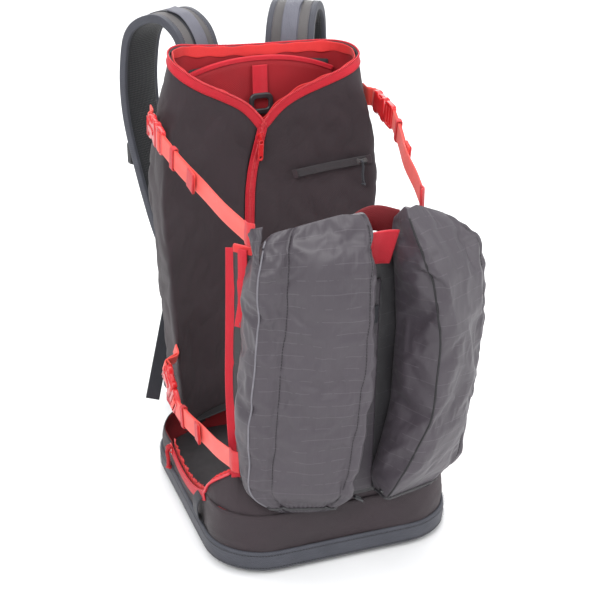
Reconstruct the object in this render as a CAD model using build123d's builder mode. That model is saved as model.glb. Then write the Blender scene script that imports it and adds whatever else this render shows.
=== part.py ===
from build123d import *
from math import asin, cos, radians, sin, sqrt
import os

# Bucket-hauling ski backpack, standing on its base with its front panel let out on four straps.
# Millimetres. +Z is up, -Y is the front of the pack and +Y the wearer's side.
# The origin is the centre of the base, on the floor. "left" is -X, as seen from the front.

# ---- driving dimensions ----
BASE_WIDTH = 312
BASE_DEPTH = 344
BASE_CORNER = 72
BINDING_HEIGHT = 26
BINDING = 4                    # thickness of the base's binding and floor
FABRIC = 3                     # thickness given to every sewn wall
GAP = 0.3                      # air between neighbouring sewn pieces
BOARD_TOP = 12
BOARD_INSET = 5                # air round the stiffening board
TAPE = 13                      # width of a zip with both of its tapes

BOOT_TOP_FRONT = 76
BOOT_TOP_BACK = 56
BOOT_LOW = 47                  # lowest point of the side openings
DIP_FRONT = -92                # the side openings run between these two, along Y
DIP_BACK = 70

BAG_BOTTOM = 58
BAG_TOP = 545
SIDE_TOP = 540
BAG_BACK = 168                 # outer face of the bag's back panel
SIDE_FRONT = 90                # where the bag's front wall meets its sides
SIDE_START = 95                # front edge of the bag's side panels
MOUTH_BACK = 150               # behind this the bag is cut off level, in front of it the mouth has its V
BAG_LEVELS = [                 # height, half width, front face at the centre, centre zip's x
    (61.3, 127, 145, -20),
    (230, 135, 145, -18),
    (380, 145, 140, -14),
    (459, 139, 125, 0),
    (545, 116, 113, 0),
]
MOUTH_EDGE = [(0, 459), (27, 492), (70, 517), (112, 540), (150, 545)]

PANEL_BOTTOM = 84              # the front panel is a bowed sheet between two arcs:
PANEL_TOP = 396                # centre x, centre y, radius and half chord at its bottom and top
PANEL_ARC_LOW = (6, 52.4, 220.4, 141)
PANEL_ARC_HIGH = (12, -12, 157, 130)
PANEL_EDGE = 0.045             # share of the panel's width that each edge zip takes

WEB = 25                       # compression webbing
WEB_THICKNESS = 1.6
SOCKET_LENGTH, SOCKET_WIDTH, SOCKET_THICKNESS = 34, 32, 11
PLUG_END = 58                  # plug's far end, measured from the socket's rear
SOCKET_FLOOR = 12

PAD_THICKNESS = 13
STRAP_WIDTH, STRAP_THICKNESS = 64, 12
STRAP_SPLAY = 30               # angle by which each shoulder strap turns out from straight back

SIDES = {"left": -1, "right": 1}

os.makedirs("parts", exist_ok=True)


def save(shape, name):
    """Labels one sub-part and writes it as its own STEP file."""
    shape.label = name
    export_step(shape, f"parts/{name}.step")


# ---- base ----
INNER_WIDTH = BASE_WIDTH - 2 * (BINDING + GAP)
INNER_DEPTH = BASE_DEPTH - 2 * (BINDING + GAP)
INNER_CORNER = BASE_CORNER - BINDING - GAP

with BuildPart() as base_binding:
    with BuildSketch():
        RectangleRounded(BASE_WIDTH, BASE_DEPTH, BASE_CORNER)
        offset(amount=-BINDING, mode=Mode.SUBTRACT)
    extrude(amount=BINDING_HEIGHT)
    fillet(base_binding.edges().group_by(Axis.Z)[-1], 1.5)
save(base_binding.part, "base_binding")

with BuildPart() as base_floor:
    with BuildSketch():
        RectangleRounded(INNER_WIDTH, INNER_DEPTH, INNER_CORNER)
    extrude(amount=BINDING)
save(base_floor.part, "base_floor")

with BuildPart() as base_board:
    with BuildSketch(Plane.XY.offset(BINDING)):
        RectangleRounded(
                INNER_WIDTH - 2 * BOARD_INSET, INNER_DEPTH - 2 * BOARD_INSET, INNER_CORNER - BOARD_INSET
            )
    extrude(amount=BOARD_TOP - BINDING)
save(base_board.part, "base_board")


# ---- boot: the low wall round the base, cut down on both sides ----
def boot_body(drop):
    """The boot's wall up to its top edge lowered by drop."""
    with BuildPart() as body:
        with BuildSketch(Plane.XY.offset(BINDING)):
            RectangleRounded(INNER_WIDTH, INNER_DEPTH, INNER_CORNER)
            offset(amount=-FABRIC, mode=Mode.SUBTRACT)
        extrude(amount=BOOT_TOP_FRONT)
        with BuildSketch(Plane.YZ.offset(-BASE_WIDTH)):
            with BuildLine():
                middle = ((DIP_FRONT + DIP_BACK) / 2, BOOT_LOW - drop)
                front = Line((-BASE_DEPTH, BOOT_TOP_FRONT - drop), (DIP_FRONT, BOOT_TOP_FRONT - drop))
                dip = ThreePointArc(front @ 1, middle, (DIP_BACK, BOOT_TOP_BACK - drop))
                back = (BASE_DEPTH, BOOT_TOP_BACK - drop)
                Polyline(dip @ 1, back, (BASE_DEPTH, 0), (-BASE_DEPTH, 0), front @ 0)
            make_face()
        extrude(amount=2 * BASE_WIDTH, mode=Mode.INTERSECT)
    return body.part


def bag_half_width(z):
    """Half width of the bag at a height, from its listed levels."""
    for (low, narrow, _, _), (high, wide, _, _) in zip(BAG_LEVELS, BAG_LEVELS[1:]):
        if z <= high:
            return narrow + (wide - narrow) * (z - low) / (high - low)
    return BAG_LEVELS[-1][1]


boot_low = boot_body(TAPE)
boot_full = boot_body(0)

with BuildPart() as boot_wall:
    add(boot_full)
    with BuildSketch():
        with Locations((0, (DIP_FRONT + DIP_BACK) / 2)):
            Rectangle(2 * BASE_WIDTH, DIP_BACK - DIP_FRONT)
    extrude(amount=2 * BOOT_TOP_FRONT, mode=Mode.SUBTRACT)
    add(boot_low)
save(boot_wall.part, "boot_wall")

with BuildPart() as side_zips:
    add(boot_full)
    add(boot_low, mode=Mode.SUBTRACT)
    with BuildSketch():
        with Locations((0, (DIP_FRONT + DIP_BACK) / 2)):
            Rectangle(2 * BASE_WIDTH, DIP_BACK - DIP_FRONT - 2 * GAP)
    extrude(amount=2 * BOOT_TOP_FRONT, mode=Mode.INTERSECT)
    for sign in SIDES.values():
        with BuildSketch(Plane.YZ.offset(sign * (bag_half_width(75) + 1.2))):
            with Locations((SIDE_START, BAG_BOTTOM + 5)):
                Rectangle(BAG_BACK - SIDE_START, TAPE, align=(Align.MIN, Align.MIN))
        extrude(amount=sign * 1.5)
save(side_zips.part, "side_zips")


# ---- bag: back, sides, floor, front halves, centre zip and mouth zip, each a sewn panel ----
def side_outline(inset):
    """Points up one side of the bag, seen from the front, moved in by inset."""
    return [(half - inset, z) for z, half, _, _ in BAG_LEVELS]


def front_y(x, half, centre):
    """Depth of the bag's front face: a circle through its centre and both side edges."""
    rise = centre - SIDE_FRONT + FABRIC
    radius = (half**2 + rise**2) / (2 * rise)
    return centre - radius + sqrt(radius**2 - x**2)


def front_strip(start, end):
    """Front wall of the bag between two positions, each given as a function of a level."""
    with BuildPart() as strip:
        for z, half, centre, zip_x in BAG_LEVELS:
            x0 = start(half, zip_x)
            x1 = end(half, zip_x)
            near = [(x, front_y(x, half, centre)) for x in (x0, (x0 + x1) / 2, x1)]
            far = [(x, y + FABRIC - GAP) for x, y in reversed(near)]
            with BuildSketch(Plane.XY.offset(z)):
                with BuildLine():
                    ThreePointArc(*near)
                    Line(near[2], far[0])
                    ThreePointArc(*far)
                    Line(far[2], near[0])
                make_face()
        loft(ruled=True)
    return strip.part


def below_mouth(drop):
    """Everything in the front half of the bag that is below the mouth's edge lowered by drop."""
    with BuildPart() as region:
        with BuildSketch(Plane.XZ.offset(-MOUTH_BACK)):
            edge = [(x, z - drop) for x, z in MOUTH_EDGE]
            mirrored = [(-x, z) for x, z in reversed(edge[1:])]
            with BuildLine():
                Polyline(*mirrored, *edge, (150, 0), (-150, 0), close=True)
            make_face()
        extrude(amount=MOUTH_BACK)
    return region.part


under_edge = below_mouth(0)
under_tape = below_mouth(TAPE + GAP)
above_panels = below_mouth(TAPE)
HALF_TAPE = TAPE / 2

strip_left = front_strip(lambda half, mid: -half, lambda half, mid: mid - HALF_TAPE - GAP)
strip_right = front_strip(lambda half, mid: mid + HALF_TAPE + GAP, lambda half, mid: half)
strip_middle = front_strip(lambda half, mid: mid - HALF_TAPE, lambda half, mid: mid + HALF_TAPE)
strip_whole = front_strip(lambda half, mid: -half, lambda half, mid: half)

for side, strip in {"left": strip_left, "right": strip_right}.items():
    with BuildPart() as bag_front:
        add(strip)
        add(under_tape, mode=Mode.INTERSECT)
    save(bag_front.part, f"bag_front_{side}")

with BuildPart() as front_zip:
    add(strip_middle)
    add(under_tape, mode=Mode.INTERSECT)
save(front_zip.part, "front_zip")

with BuildPart() as bag_sides:
    for sign in SIDES.values():
        with BuildSketch(Plane.XZ.offset(GAP - BAG_BACK + FABRIC)):
            with BuildLine():
                outer = [(sign * x, z) for x, z in side_outline(0)]
                inner = [(sign * x, z) for x, z in reversed(side_outline(FABRIC))]
                Polyline(*outer, *inner, close=True)
            make_face()
        extrude(amount=BAG_BACK - FABRIC - GAP - SIDE_START)
    with BuildSketch(Plane.XY.offset(SIDE_TOP - TAPE)):
        Rectangle(2 * BASE_WIDTH, 2 * BASE_DEPTH)
    extrude(amount=BAG_TOP, mode=Mode.SUBTRACT)
save(bag_sides.part, "bag_sides")

with BuildPart() as bag_back:
    with BuildSketch(Plane.XZ.offset(-BAG_BACK)):
        with BuildLine():
            right_edge = side_outline(0)
            left_edge = [(-x, z) for x, z in reversed(right_edge)]
            Polyline(*right_edge, *left_edge, close=True)
        make_face()
    extrude(amount=FABRIC)
    with BuildSketch(Plane.XY.offset(BAG_TOP - TAPE)):
        Rectangle(2 * BASE_WIDTH, 2 * BASE_DEPTH)
    extrude(amount=BAG_TOP, mode=Mode.SUBTRACT)
save(bag_back.part, "bag_back")

with BuildPart() as bag_floor:
    half_low = BAG_LEVELS[0][1]
    with BuildSketch(Plane.XY.offset(BAG_BOTTOM)):
        with BuildLine():
            corner_y = SIDE_FRONT - FABRIC
            arc = ThreePointArc((-half_low, corner_y), (0, BAG_LEVELS[0][2]), (half_low, corner_y))
            Polyline(arc @ 1, (half_low, BAG_BACK), (-half_low, BAG_BACK), arc @ 0)
        make_face()
    extrude(amount=FABRIC)
save(bag_floor.part, "bag_floor")

with BuildPart() as mouth_zip:
    add(strip_whole)
    add(under_edge, mode=Mode.INTERSECT)
    add(above_panels, mode=Mode.SUBTRACT)
    half_top = BAG_LEVELS[-1][1] - 1
    with BuildSketch(Plane.XY.offset(SIDE_TOP - TAPE + GAP)):
        for sign in SIDES.values():
            with Locations((sign * (half_top - FABRIC / 2), (SIDE_START + BAG_BACK - FABRIC) / 2)):
                Rectangle(FABRIC, BAG_BACK - FABRIC - SIDE_START - 2 * GAP)
    extrude(amount=TAPE)
    with BuildSketch(Plane.XY.offset(BAG_TOP - TAPE + GAP)):
        with Locations((0, BAG_BACK - FABRIC / 2)):
            Rectangle(2 * half_top, FABRIC)
    extrude(amount=TAPE)
save(mouth_zip.part, "mouth_zip")

# ---- inside the bag ----
DIVIDER_FRONT, DIVIDER_THICKNESS = 152, 4
DIVIDER_WIDTH, DIVIDER_HEIGHT, DIVIDER_CORNER = 206, 458, 24
DIVIDER_MIDDLE = 296            # height of its centre
STAY_X, STAY_WIDTH, STAY_LENGTH, STAY_THICKNESS = 58, 13, 430, 2.5
STAY_BACK = 161                 # rear face of the stays
SHEET_WIDTH, SHEET_HEIGHT, SHEET_THICKNESS = 216, 450, 1.8
SHEET_BACK = 163.5

with BuildPart() as inner_divider:
    with BuildSketch(Plane.XZ.offset(-DIVIDER_FRONT - DIVIDER_THICKNESS)):
        with Locations((0, DIVIDER_MIDDLE)):
            RectangleRounded(DIVIDER_WIDTH, DIVIDER_HEIGHT, DIVIDER_CORNER)
    extrude(amount=DIVIDER_THICKNESS)
save(inner_divider.part, "inner_divider")

with BuildPart() as frame_stays:
    with BuildSketch(Plane.XZ.offset(-STAY_BACK)):
        with Locations((-STAY_X, DIVIDER_MIDDLE - 6), (STAY_X, DIVIDER_MIDDLE - 6)):
            RectangleRounded(STAY_WIDTH, STAY_LENGTH, 5)
    extrude(amount=STAY_THICKNESS)
save(frame_stays.part, "frame_stays")

with BuildPart() as frame_sheet:
    with BuildSketch(Plane.XZ.offset(-SHEET_BACK)):
        with Locations((0, DIVIDER_MIDDLE - 4)):
            RectangleRounded(SHEET_WIDTH, SHEET_HEIGHT, 30)
    extrude(amount=SHEET_THICKNESS)
save(frame_sheet.part, "frame_sheet")

HANGER_X, HANGER_TOP = 4, 512
HANGER_WIDTH, HANGER_LENGTH = 20, 32
HOOK_DROP = 44                  # from the webbing's top to the middle of its hook
HOOK_THICKNESS = 4

with BuildPart() as hanger_webbing:
    with BuildSketch(Plane.XZ.offset(-DIVIDER_FRONT + GAP)):
        with Locations((HANGER_X, HANGER_TOP - HANGER_LENGTH / 2)):
            Rectangle(HANGER_WIDTH, HANGER_LENGTH)
    extrude(amount=WEB_THICKNESS)
save(hanger_webbing.part, "hanger_webbing")

with BuildPart() as hanger_hook:
    with BuildSketch(Plane.XZ.offset(-DIVIDER_FRONT + HOOK_THICKNESS)):
        with Locations((HANGER_X, HANGER_TOP - HOOK_DROP)):
            RectangleRounded(26, 22, 8)
            RectangleRounded(14, 9, 3, mode=Mode.SUBTRACT)
    extrude(amount=HOOK_THICKNESS)
save(hanger_hook.part, "hanger_hook")

# ---- wearer's side ----
PAD_WIDTH, PAD_HEIGHT, PAD_CORNER = 216, 368, 36
PAD_MIDDLE = 280                # height of the back pad's centre

with BuildPart() as back_pad:
    with BuildSketch(Plane.XZ.offset(-BAG_BACK - PAD_THICKNESS)):
        with Locations((0, PAD_MIDDLE)):
            RectangleRounded(PAD_WIDTH, PAD_HEIGHT, PAD_CORNER)
    extrude(amount=PAD_THICKNESS - GAP)
    fillet(back_pad.faces().sort_by(Axis.Y)[-1].edges(), 5)
save(back_pad.part, "back_pad")

# Side view of a shoulder strap, in the upright plane it lies in: distance from its root, height.
STRAP_PATH = [(0, 470), (6, 552), (44, 590), (104, 566), (118, 500), (118, 430), (104, 340), (66, 240)]
STRAP_ROOT = (58, 193)


def strap_plane(sign):
    """Upright plane of a shoulder strap: X runs back and outwards, Y is up."""
    out = (sign * sin(radians(STRAP_SPLAY)), cos(radians(STRAP_SPLAY)), 0)
    normal = Vector(*out).cross(Vector(0, 0, 1))
    return Plane(origin=(sign * STRAP_ROOT[0], STRAP_ROOT[1], 0), x_dir=out, z_dir=normal)


def strap_point(sign, along, height):
    """Centre of a shoulder strap at a distance from its root."""
    return strap_plane(sign).from_local_coords(Vector(along, height, 0))


for side, sign in SIDES.items():
    with BuildPart() as shoulder_strap:
        with BuildSketch(strap_plane(sign)):
            with BuildLine():
                FilletPolyline(*STRAP_PATH, radius=[22, 22, 36, 40, 60, 60])
            trace(line_width=STRAP_THICKNESS)
        extrude(amount=STRAP_WIDTH / 2, both=True)
    save(shoulder_strap.part, f"shoulder_strap_{side}")

STRAP_TIP = strap_point(1, STRAP_PATH[-1][0], STRAP_PATH[-1][1])
TIP_BUCKLE_LENGTH = 30


def hanging_plane(sign, start, end):
    """Plane at start with X towards end and Z facing the wearer; mirrored to the left by sign."""
    first = Vector(sign * start[0], start[1], start[2])
    last = Vector(sign * end[0], end[1], end[2])
    along = (last - first).normalized()
    across = Vector(0, 1, 0).cross(along).normalized()
    return Plane(origin=first, x_dir=along, z_dir=along.cross(across))


TIP = (STRAP_TIP.X, STRAP_TIP.Y - 1, STRAP_TIP.Z - 10)
HEM = (149, 174, 62)
HANG_LENGTH = (Vector(*HEM) - Vector(*TIP)).length

with BuildPart() as strap_adjusters:
    for sign in SIDES.values():
        with BuildSketch(hanging_plane(sign, TIP, HEM)):
            with Locations((TIP_BUCKLE_LENGTH / 2 + 2, 0)):
                RectangleRounded(TIP_BUCKLE_LENGTH, 30, 3)
                with GridLocations(12, 0, 2, 1):
                    Rectangle(4, 22, mode=Mode.SUBTRACT)
        extrude(amount=4)
save(strap_adjusters.part, "strap_adjusters")

with BuildPart() as lower_webbing:
    for sign in SIDES.values():
        with BuildSketch(hanging_plane(sign, TIP, HEM)):
            with Locations((TIP_BUCKLE_LENGTH + 3, 0)):
                Rectangle(HANG_LENGTH - TIP_BUCKLE_LENGTH - 6, 20, align=(Align.MIN, Align.CENTER))
        extrude(amount=WEB_THICKNESS)
save(lower_webbing.part, "lower_webbing")

RAIL_GAP = 3.2                  # air between a shoulder strap and the rail sewn on its face
RAIL_FACE = max(along for along, _ in STRAP_PATH) + STRAP_THICKNESS / 2 + RAIL_GAP
RAIL_MIDDLE, RAIL_LENGTH = 466, 92

with BuildPart() as sternum_rails:
    for sign in SIDES.values():
        with BuildSketch(strap_plane(sign)):
            with Locations((RAIL_FACE + WEB_THICKNESS / 2, RAIL_MIDDLE)):
                Rectangle(WEB_THICKNESS, RAIL_LENGTH)
            with Locations((RAIL_FACE - RAIL_GAP / 2 + GAP / 2, RAIL_MIDDLE)):
                with GridLocations(0, RAIL_LENGTH - 6, 1, 2):
                    Rectangle(RAIL_GAP - GAP, 6)
        extrude(amount=10, both=True)
save(sternum_rails.part, "sternum_rails")

SLIDER_Z = 470
STERNUM_OUT = RAIL_FACE + 5.2   # the sternum webbing's distance from the strap's root
STERNUM_LENGTH = 84
BUCKLE_DROP, BUCKLE_LENGTH = 76.5, 34

for side, sign in SIDES.items():
    with BuildPart() as sternum_hardware:
        with BuildSketch(strap_plane(sign)):
            with Locations((RAIL_FACE + 0.6, SLIDER_Z)):
                Rectangle(7, 16)
        extrude(amount=14, both=True)
        with BuildSketch(strap_plane(sign)):
            with Locations((RAIL_FACE + WEB_THICKNESS / 2, SLIDER_Z)):
                Rectangle(WEB_THICKNESS + 0.9, 20)
        extrude(amount=10.5, both=True, mode=Mode.SUBTRACT)
        with BuildSketch(strap_plane(sign)):
            with Locations((STERNUM_OUT, SLIDER_Z - BUCKLE_DROP)):
                Rectangle(8, BUCKLE_LENGTH, align=(Align.CENTER, Align.MAX))
        extrude(amount=12.5, both=True)
    save(sternum_hardware.part, f"sternum_hardware_{side}")

    with BuildPart() as sternum_webbing:
        with BuildSketch(strap_plane(sign)):
            with Locations((STERNUM_OUT, SLIDER_Z + 8)):
                Rectangle(WEB_THICKNESS, STERNUM_LENGTH, align=(Align.CENTER, Align.MAX))
        extrude(amount=10, both=True)
    save(sternum_webbing.part, f"sternum_webbing_{side}")

WING_PATH = [(84, 191), (100, 208), (106, 250), (88, 292)]
WING_LOW, WING_HIGH = 68, 138
WING_MIDDLE = (WING_LOW + WING_HIGH) / 2
WING_THICKNESS = 14
HIP_X, HIP_Y = 82, 303.5        # where the hip webbing hangs
HIP_WEB_LOW = 28
HIP_BUCKLE_LOW, HIP_BUCKLE_HEIGHT = 6, 44

for side, sign in SIDES.items():
    path = [(sign * x, y) for x, y in WING_PATH]
    with BuildPart() as hip_wing:
        with BuildSketch(Plane.XY.offset(WING_LOW)):
            with BuildLine():
                FilletPolyline(*path, radius=24)
            trace(line_width=WING_THICKNESS)
        extrude(amount=WING_HIGH - WING_LOW)
        fillet(hip_wing.edges().group_by(Axis.Z)[-1], 4)
        fillet(hip_wing.edges().group_by(Axis.Z)[0], 4)
    save(hip_wing.part, f"hip_wing_{side}")

    with BuildPart() as hip_webbing:
        with BuildSketch(Plane.XY.offset(WING_MIDDLE - WEB / 2)):
            with Locations((sign * 83.4, 300.6)):
                Rectangle(3, 3)
        extrude(amount=WEB)
        with BuildSketch(Plane.XY.offset(HIP_WEB_LOW)):
            with Locations((sign * HIP_X, HIP_Y)):
                Rectangle(WEB, WEB_THICKNESS)
        extrude(amount=WING_MIDDLE + WEB / 2 - HIP_WEB_LOW)
    save(hip_webbing.part, f"hip_webbing_{side}")

    with BuildPart() as hip_buckle:
        with BuildSketch(Plane.XY.offset(HIP_BUCKLE_LOW)):
            with Locations((sign * HIP_X, HIP_Y)):
                RectangleRounded(36, 11, 4)
        extrude(amount=HIP_BUCKLE_HEIGHT)
        with BuildSketch(Plane.XY.offset(HIP_WEB_LOW - 4)):
            with Locations((sign * HIP_X, HIP_Y)):
                Rectangle(WEB + 1, WEB_THICKNESS + 0.8)
        extrude(amount=30, mode=Mode.SUBTRACT)
    save(hip_buckle.part, f"hip_buckle_{side}")

HAUL_TOP, HAUL_DROP, HAUL_HALF = 528, 48, 18
HAUL_WIDTH, HAUL_THICKNESS = 10, 2.6

with BuildPart() as haul_loop:
    with BuildSketch(Plane.XZ.offset(-BAG_BACK - GAP - HAUL_THICKNESS)):
        with BuildLine():
            haul_low = HAUL_TOP - HAUL_DROP
            left_end, left_low = (-HAUL_HALF, HAUL_TOP), (-HAUL_HALF, haul_low)
            right_low, right_end = (HAUL_HALF, haul_low), (HAUL_HALF, HAUL_TOP)
            FilletPolyline(left_end, left_low, right_low, right_end, radius=14)
        trace(line_width=HAUL_WIDTH)
    extrude(amount=HAUL_THICKNESS)
save(haul_loop.part, "haul_loop")

# ---- small pieces on the base and the bag's sides ----
LOOP_FRONT, LOOP_WIDTH = 64, 20
# Each tool loop's side view: distance from the middle, height.
LOOP_PATH = [(152.4, 60), (158.6, 58), (159.2, 32), (152.4, 29)]

with BuildPart() as tool_loops:
    for sign in SIDES.values():
        with BuildSketch(Plane.XZ.offset(LOOP_FRONT)):
            with BuildLine():
                FilletPolyline(*[(sign * x, z) for x, z in LOOP_PATH], radius=1.8)
            trace(line_width=1.4)
        extrude(amount=LOOP_WIDTH)
save(tool_loops.part, "tool_loops")

SLIDER_FACE = 152.2              # inner face of each side zip's slider
PULL_FACE = 156.9                # inner face of its cord pull
PULL_Y, PULL_Z = 58, 56

with BuildPart() as side_zip_sliders:
    for sign in SIDES.values():
        with BuildSketch(Plane.YZ.offset(sign * SLIDER_FACE)):
            with Locations((PULL_Y, PULL_Z - 4)):
                RectangleRounded(9, 14, 2)
        extrude(amount=sign * 4.2)
save(side_zip_sliders.part, "side_zip_sliders")

for side, sign in SIDES.items():
    with BuildPart() as side_zip_pull:
        with BuildSketch(Plane.YZ.offset(sign * PULL_FACE)):
            with Locations((PULL_Y, PULL_Z)):
                RectangleRounded(6, 29, 2, align=(Align.CENTER, Align.MAX))
        extrude(amount=sign * 3)
    save(side_zip_pull.part, f"side_zip_pull_{side}")

# The pocket zip runs along a straight chord across the right front panel of the bag.
POCKET_IN, POCKET_OUT = (44, 129.4, 384), (131, 92.2, 406)
POCKET_WIDTH = 11
POCKET_RUN = Vector(*POCKET_OUT) - Vector(*POCKET_IN)
pocket_plane = Plane(
    origin=POCKET_IN, x_dir=POCKET_RUN.normalized(), z_dir=POCKET_RUN.cross(Vector(0, 0, 1)).normalized()
)

with BuildPart() as pocket_zip:
    with BuildSketch(pocket_plane):
        Rectangle(POCKET_RUN.length, POCKET_WIDTH, align=(Align.MIN, Align.CENTER))
    extrude(amount=1.6)
save(pocket_zip.part, "pocket_zip")

with BuildPart() as pocket_slider:
    with BuildSketch(pocket_plane.offset(1.9)):
        with Locations((POCKET_RUN.length - 8, 0)):
            RectangleRounded(14, 9, 2)
    extrude(amount=4)
    with BuildSketch(pocket_plane.offset(5.9 + GAP)):
        with Locations((POCKET_RUN.length - 10, 3)):
            RectangleRounded(4, 36, 1.9, align=(Align.CENTER, Align.MAX))
    extrude(amount=3)
save(pocket_slider.part, "pocket_slider")

# ---- the centre zip's slider, at the point of the mouth's V ----
MOUTH_POINT = Vector(0, 125, 459)
SLIDER_DOWN = 22                # from the point of the V to the slider's middle
ZIP_RUN = (Vector(-14, 140, 380) - MOUTH_POINT).normalized()
zip_outward = ZIP_RUN.cross(Vector(1, 0, 0)).normalized()
zip_plane = Plane(origin=MOUTH_POINT + ZIP_RUN * SLIDER_DOWN, x_dir=(1, 0, 0), z_dir=zip_outward)

with BuildPart() as front_zip_slider:
    with BuildSketch(zip_plane.offset(0.6)):
        RectangleRounded(10, 14, 3)
    extrude(amount=4.4)
save(front_zip_slider.part, "front_zip_slider")

with BuildPart() as front_zip_pull:
    with BuildSketch(zip_plane.offset(5.3)):
        RectangleRounded(7, 30, 3, align=(Align.CENTER, Align.MAX))
        with Locations((0, -22)):
            Circle(1.8, mode=Mode.SUBTRACT)
    extrude(amount=2.2)
save(front_zip_pull.part, "front_zip_pull")


# ---- front panel: a bowed sheet with its pods, hinged along the fold at its bottom ----
def panel_arc(z):
    """The panel's arc at a height; above and below the panel it stays as at its end."""
    share = min(max((z - PANEL_BOTTOM) / (PANEL_TOP - PANEL_BOTTOM), 0), 1)
    return [low + (high - low) * share for low, high in zip(PANEL_ARC_LOW, PANEL_ARC_HIGH)]


def panel_points(z, shares, depth):
    """Points at a height, at shares of the panel's width, at a depth in front of its inner face."""
    centre_x, centre_y, radius, half_chord = panel_arc(z)
    reach = asin(half_chord / radius)
    turns = [reach * (2 * share - 1) for share in shares]
    out = radius + depth
    return [(centre_x + out * sin(turn), centre_y - out * cos(turn)) for turn in turns]


def panel_layer(start, end, inner, outer, heights=(PANEL_BOTTOM, 240, PANEL_TOP)):
    """A sheet that follows the front panel between two shares of its width and two depths."""
    with BuildPart() as layer:
        for z in heights:
            near = panel_points(z, (start, (start + end) / 2, end), inner)
            far = panel_points(z, (end, (start + end) / 2, start), outer)
            with BuildSketch(Plane.XY.offset(z)):
                with BuildLine():
                    ThreePointArc(*near)
                    Line(near[2], far[0])
                    ThreePointArc(*far)
                    Line(far[2], near[0])
                make_face()
        loft(ruled=True)
    return layer.part


with BuildPart() as front_panel:
    add(panel_layer(PANEL_EDGE, 1 - PANEL_EDGE, 0, FABRIC))
save(front_panel.part, "front_panel")

with BuildPart() as panel_zips:
    add(panel_layer(0, PANEL_EDGE - 0.002, 0, FABRIC))
    add(panel_layer(1 - PANEL_EDGE + 0.002, 1, 0, FABRIC))
save(panel_zips.part, "panel_zips")

with BuildPart() as panel_lining:
    add(panel_layer(0.06, 0.94, -2, -GAP, (PANEL_BOTTOM + 8, 240, PANEL_TOP - 4)))
save(panel_lining.part, "panel_lining")

with BuildPart() as channel_panel:
    add(panel_layer(0.515, 0.575, FABRIC + 0.5, FABRIC + 2.5, (PANEL_BOTTOM + 6, 240, PANEL_TOP)))
save(channel_panel.part, "channel_panel")

with BuildPart() as panel_zip_pull:
    add(panel_layer(0.004, 0.04, FABRIC + 0.6, FABRIC + 2.6, (PANEL_TOP - 84, PANEL_TOP - 4)))
save(panel_zip_pull.part, "panel_zip_pull")

POD_TOP = 453
POD_GAP = FABRIC + 0.8

POD_CUT_LEVELS = (PANEL_BOTTOM - 2, PANEL_BOTTOM, 240, PANEL_TOP, POD_TOP + 9)
behind_panel = panel_layer(-0.2, 1.2, -100, POD_GAP, POD_CUT_LEVELS)

# Each pod's outline at a height: back corner x, outer ridge, inner ridge, other back corner x.
POD_LEFT = {
    84: (-98, (-94, -172), (-32, -194), -8),
    112: (-116, (-121, -176), (-20, -222), 0),
    200: (-117, (-124, -184), (-8, -228), 4),
    300: (-110, (-114, -181), (2, -228), 10),
    400: (-104, (-106, -177), (8, -224), 12),
    POD_TOP: (-94, (-97, -166), (12, -204), 13),
}
POD_RIGHT = {
    84: (24, (40, -196), (112, -180), 116),
    112: (22, (42, -220), (144, -180), 140),
    200: (30, (82, -229), (160, -184), 151),
    300: (37, (86, -232), (171, -180), 152),
    400: (43, (64, -229), (163, -172), 147),
    POD_TOP: (46, (50, -204), (122, -160), 116),
}

for name, levels in {"pod_left": POD_LEFT, "pod_right": POD_RIGHT}.items():
    with BuildPart() as pod:
        for z, (first, ridge_1, ridge_2, last) in levels.items():
            with BuildSketch(Plane.XY.offset(z)):
                with BuildLine():
                    Polyline((first, -90), ridge_1, ridge_2, (last, -90), close=True)
                make_face()
        loft(ruled=True)
        add(behind_panel, mode=Mode.SUBTRACT)
    save(pod.part, name)

# ---- compression straps: socket on the pack, plug and webbing on the front panel ----
# Buckle's side offset, depth and height of the socket's rear, its direction (Y, Z), sewn end on the panel
STRAPS = {
    "upper_left": (-147, (116, 476), (-262, -41), (-108, -140, 424)),
    "upper_right": (149, (116, 476), (-262, -41), (105, -128, 434)),
    "lower_left": (-150, (78, 160), (-48, -39), (-134, -150, 150)),
    "lower_right": (163, (78, 160), (-48, -39), (161, -150, 150)),
}
TAIL_LENGTH = 96
KEEPER_AT = 34
TAB_LENGTH = 24
# Each sewn tab joins a strap's end to its pod: its lowest and highest X, then its nearest and furthest Y.
PANEL_TABS = {
    "upper_left": (-106.8, -105.3, -147, -134),
    "upper_right": (101.5, 103.6, -143.6, -124),
    "lower_left": (-132.8, -124, -157, -142),
    "lower_right": (154, 159.8, -157, -142),
}


def buckle_plane(name):
    """Plane of a buckle: origin at the socket's rear, X towards its plug, Z sideways along the pack's X."""
    x, (y, z), (run_y, run_z), _ = STRAPS[name]
    return Plane(origin=(x, y, z), x_dir=(0, run_y, run_z), z_dir=(1, 0, 0))


def webbing_plane(name):
    """Plane of a strap's webbing: X from the plug to the sewn end, Z away from the load."""
    buckle = buckle_plane(name)
    plug_end = buckle.from_local_coords(Vector(PLUG_END + 2 * GAP, 0, 0))
    along = (Vector(*STRAPS[name][3]) - plug_end).normalized()
    start = plug_end + buckle.x_dir * (WEB / 2 * sin(radians(along.get_angle(buckle.x_dir))))
    along = (Vector(*STRAPS[name][3]) - start).normalized()
    sideways = Vector(STRAPS[name][0], 0, 0).normalized()
    across = sideways.cross(along).normalized()
    return Plane(origin=start, x_dir=along, z_dir=along.cross(across))


def webbing_length(name):
    return (Vector(*STRAPS[name][3]) - webbing_plane(name).origin).length


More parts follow.
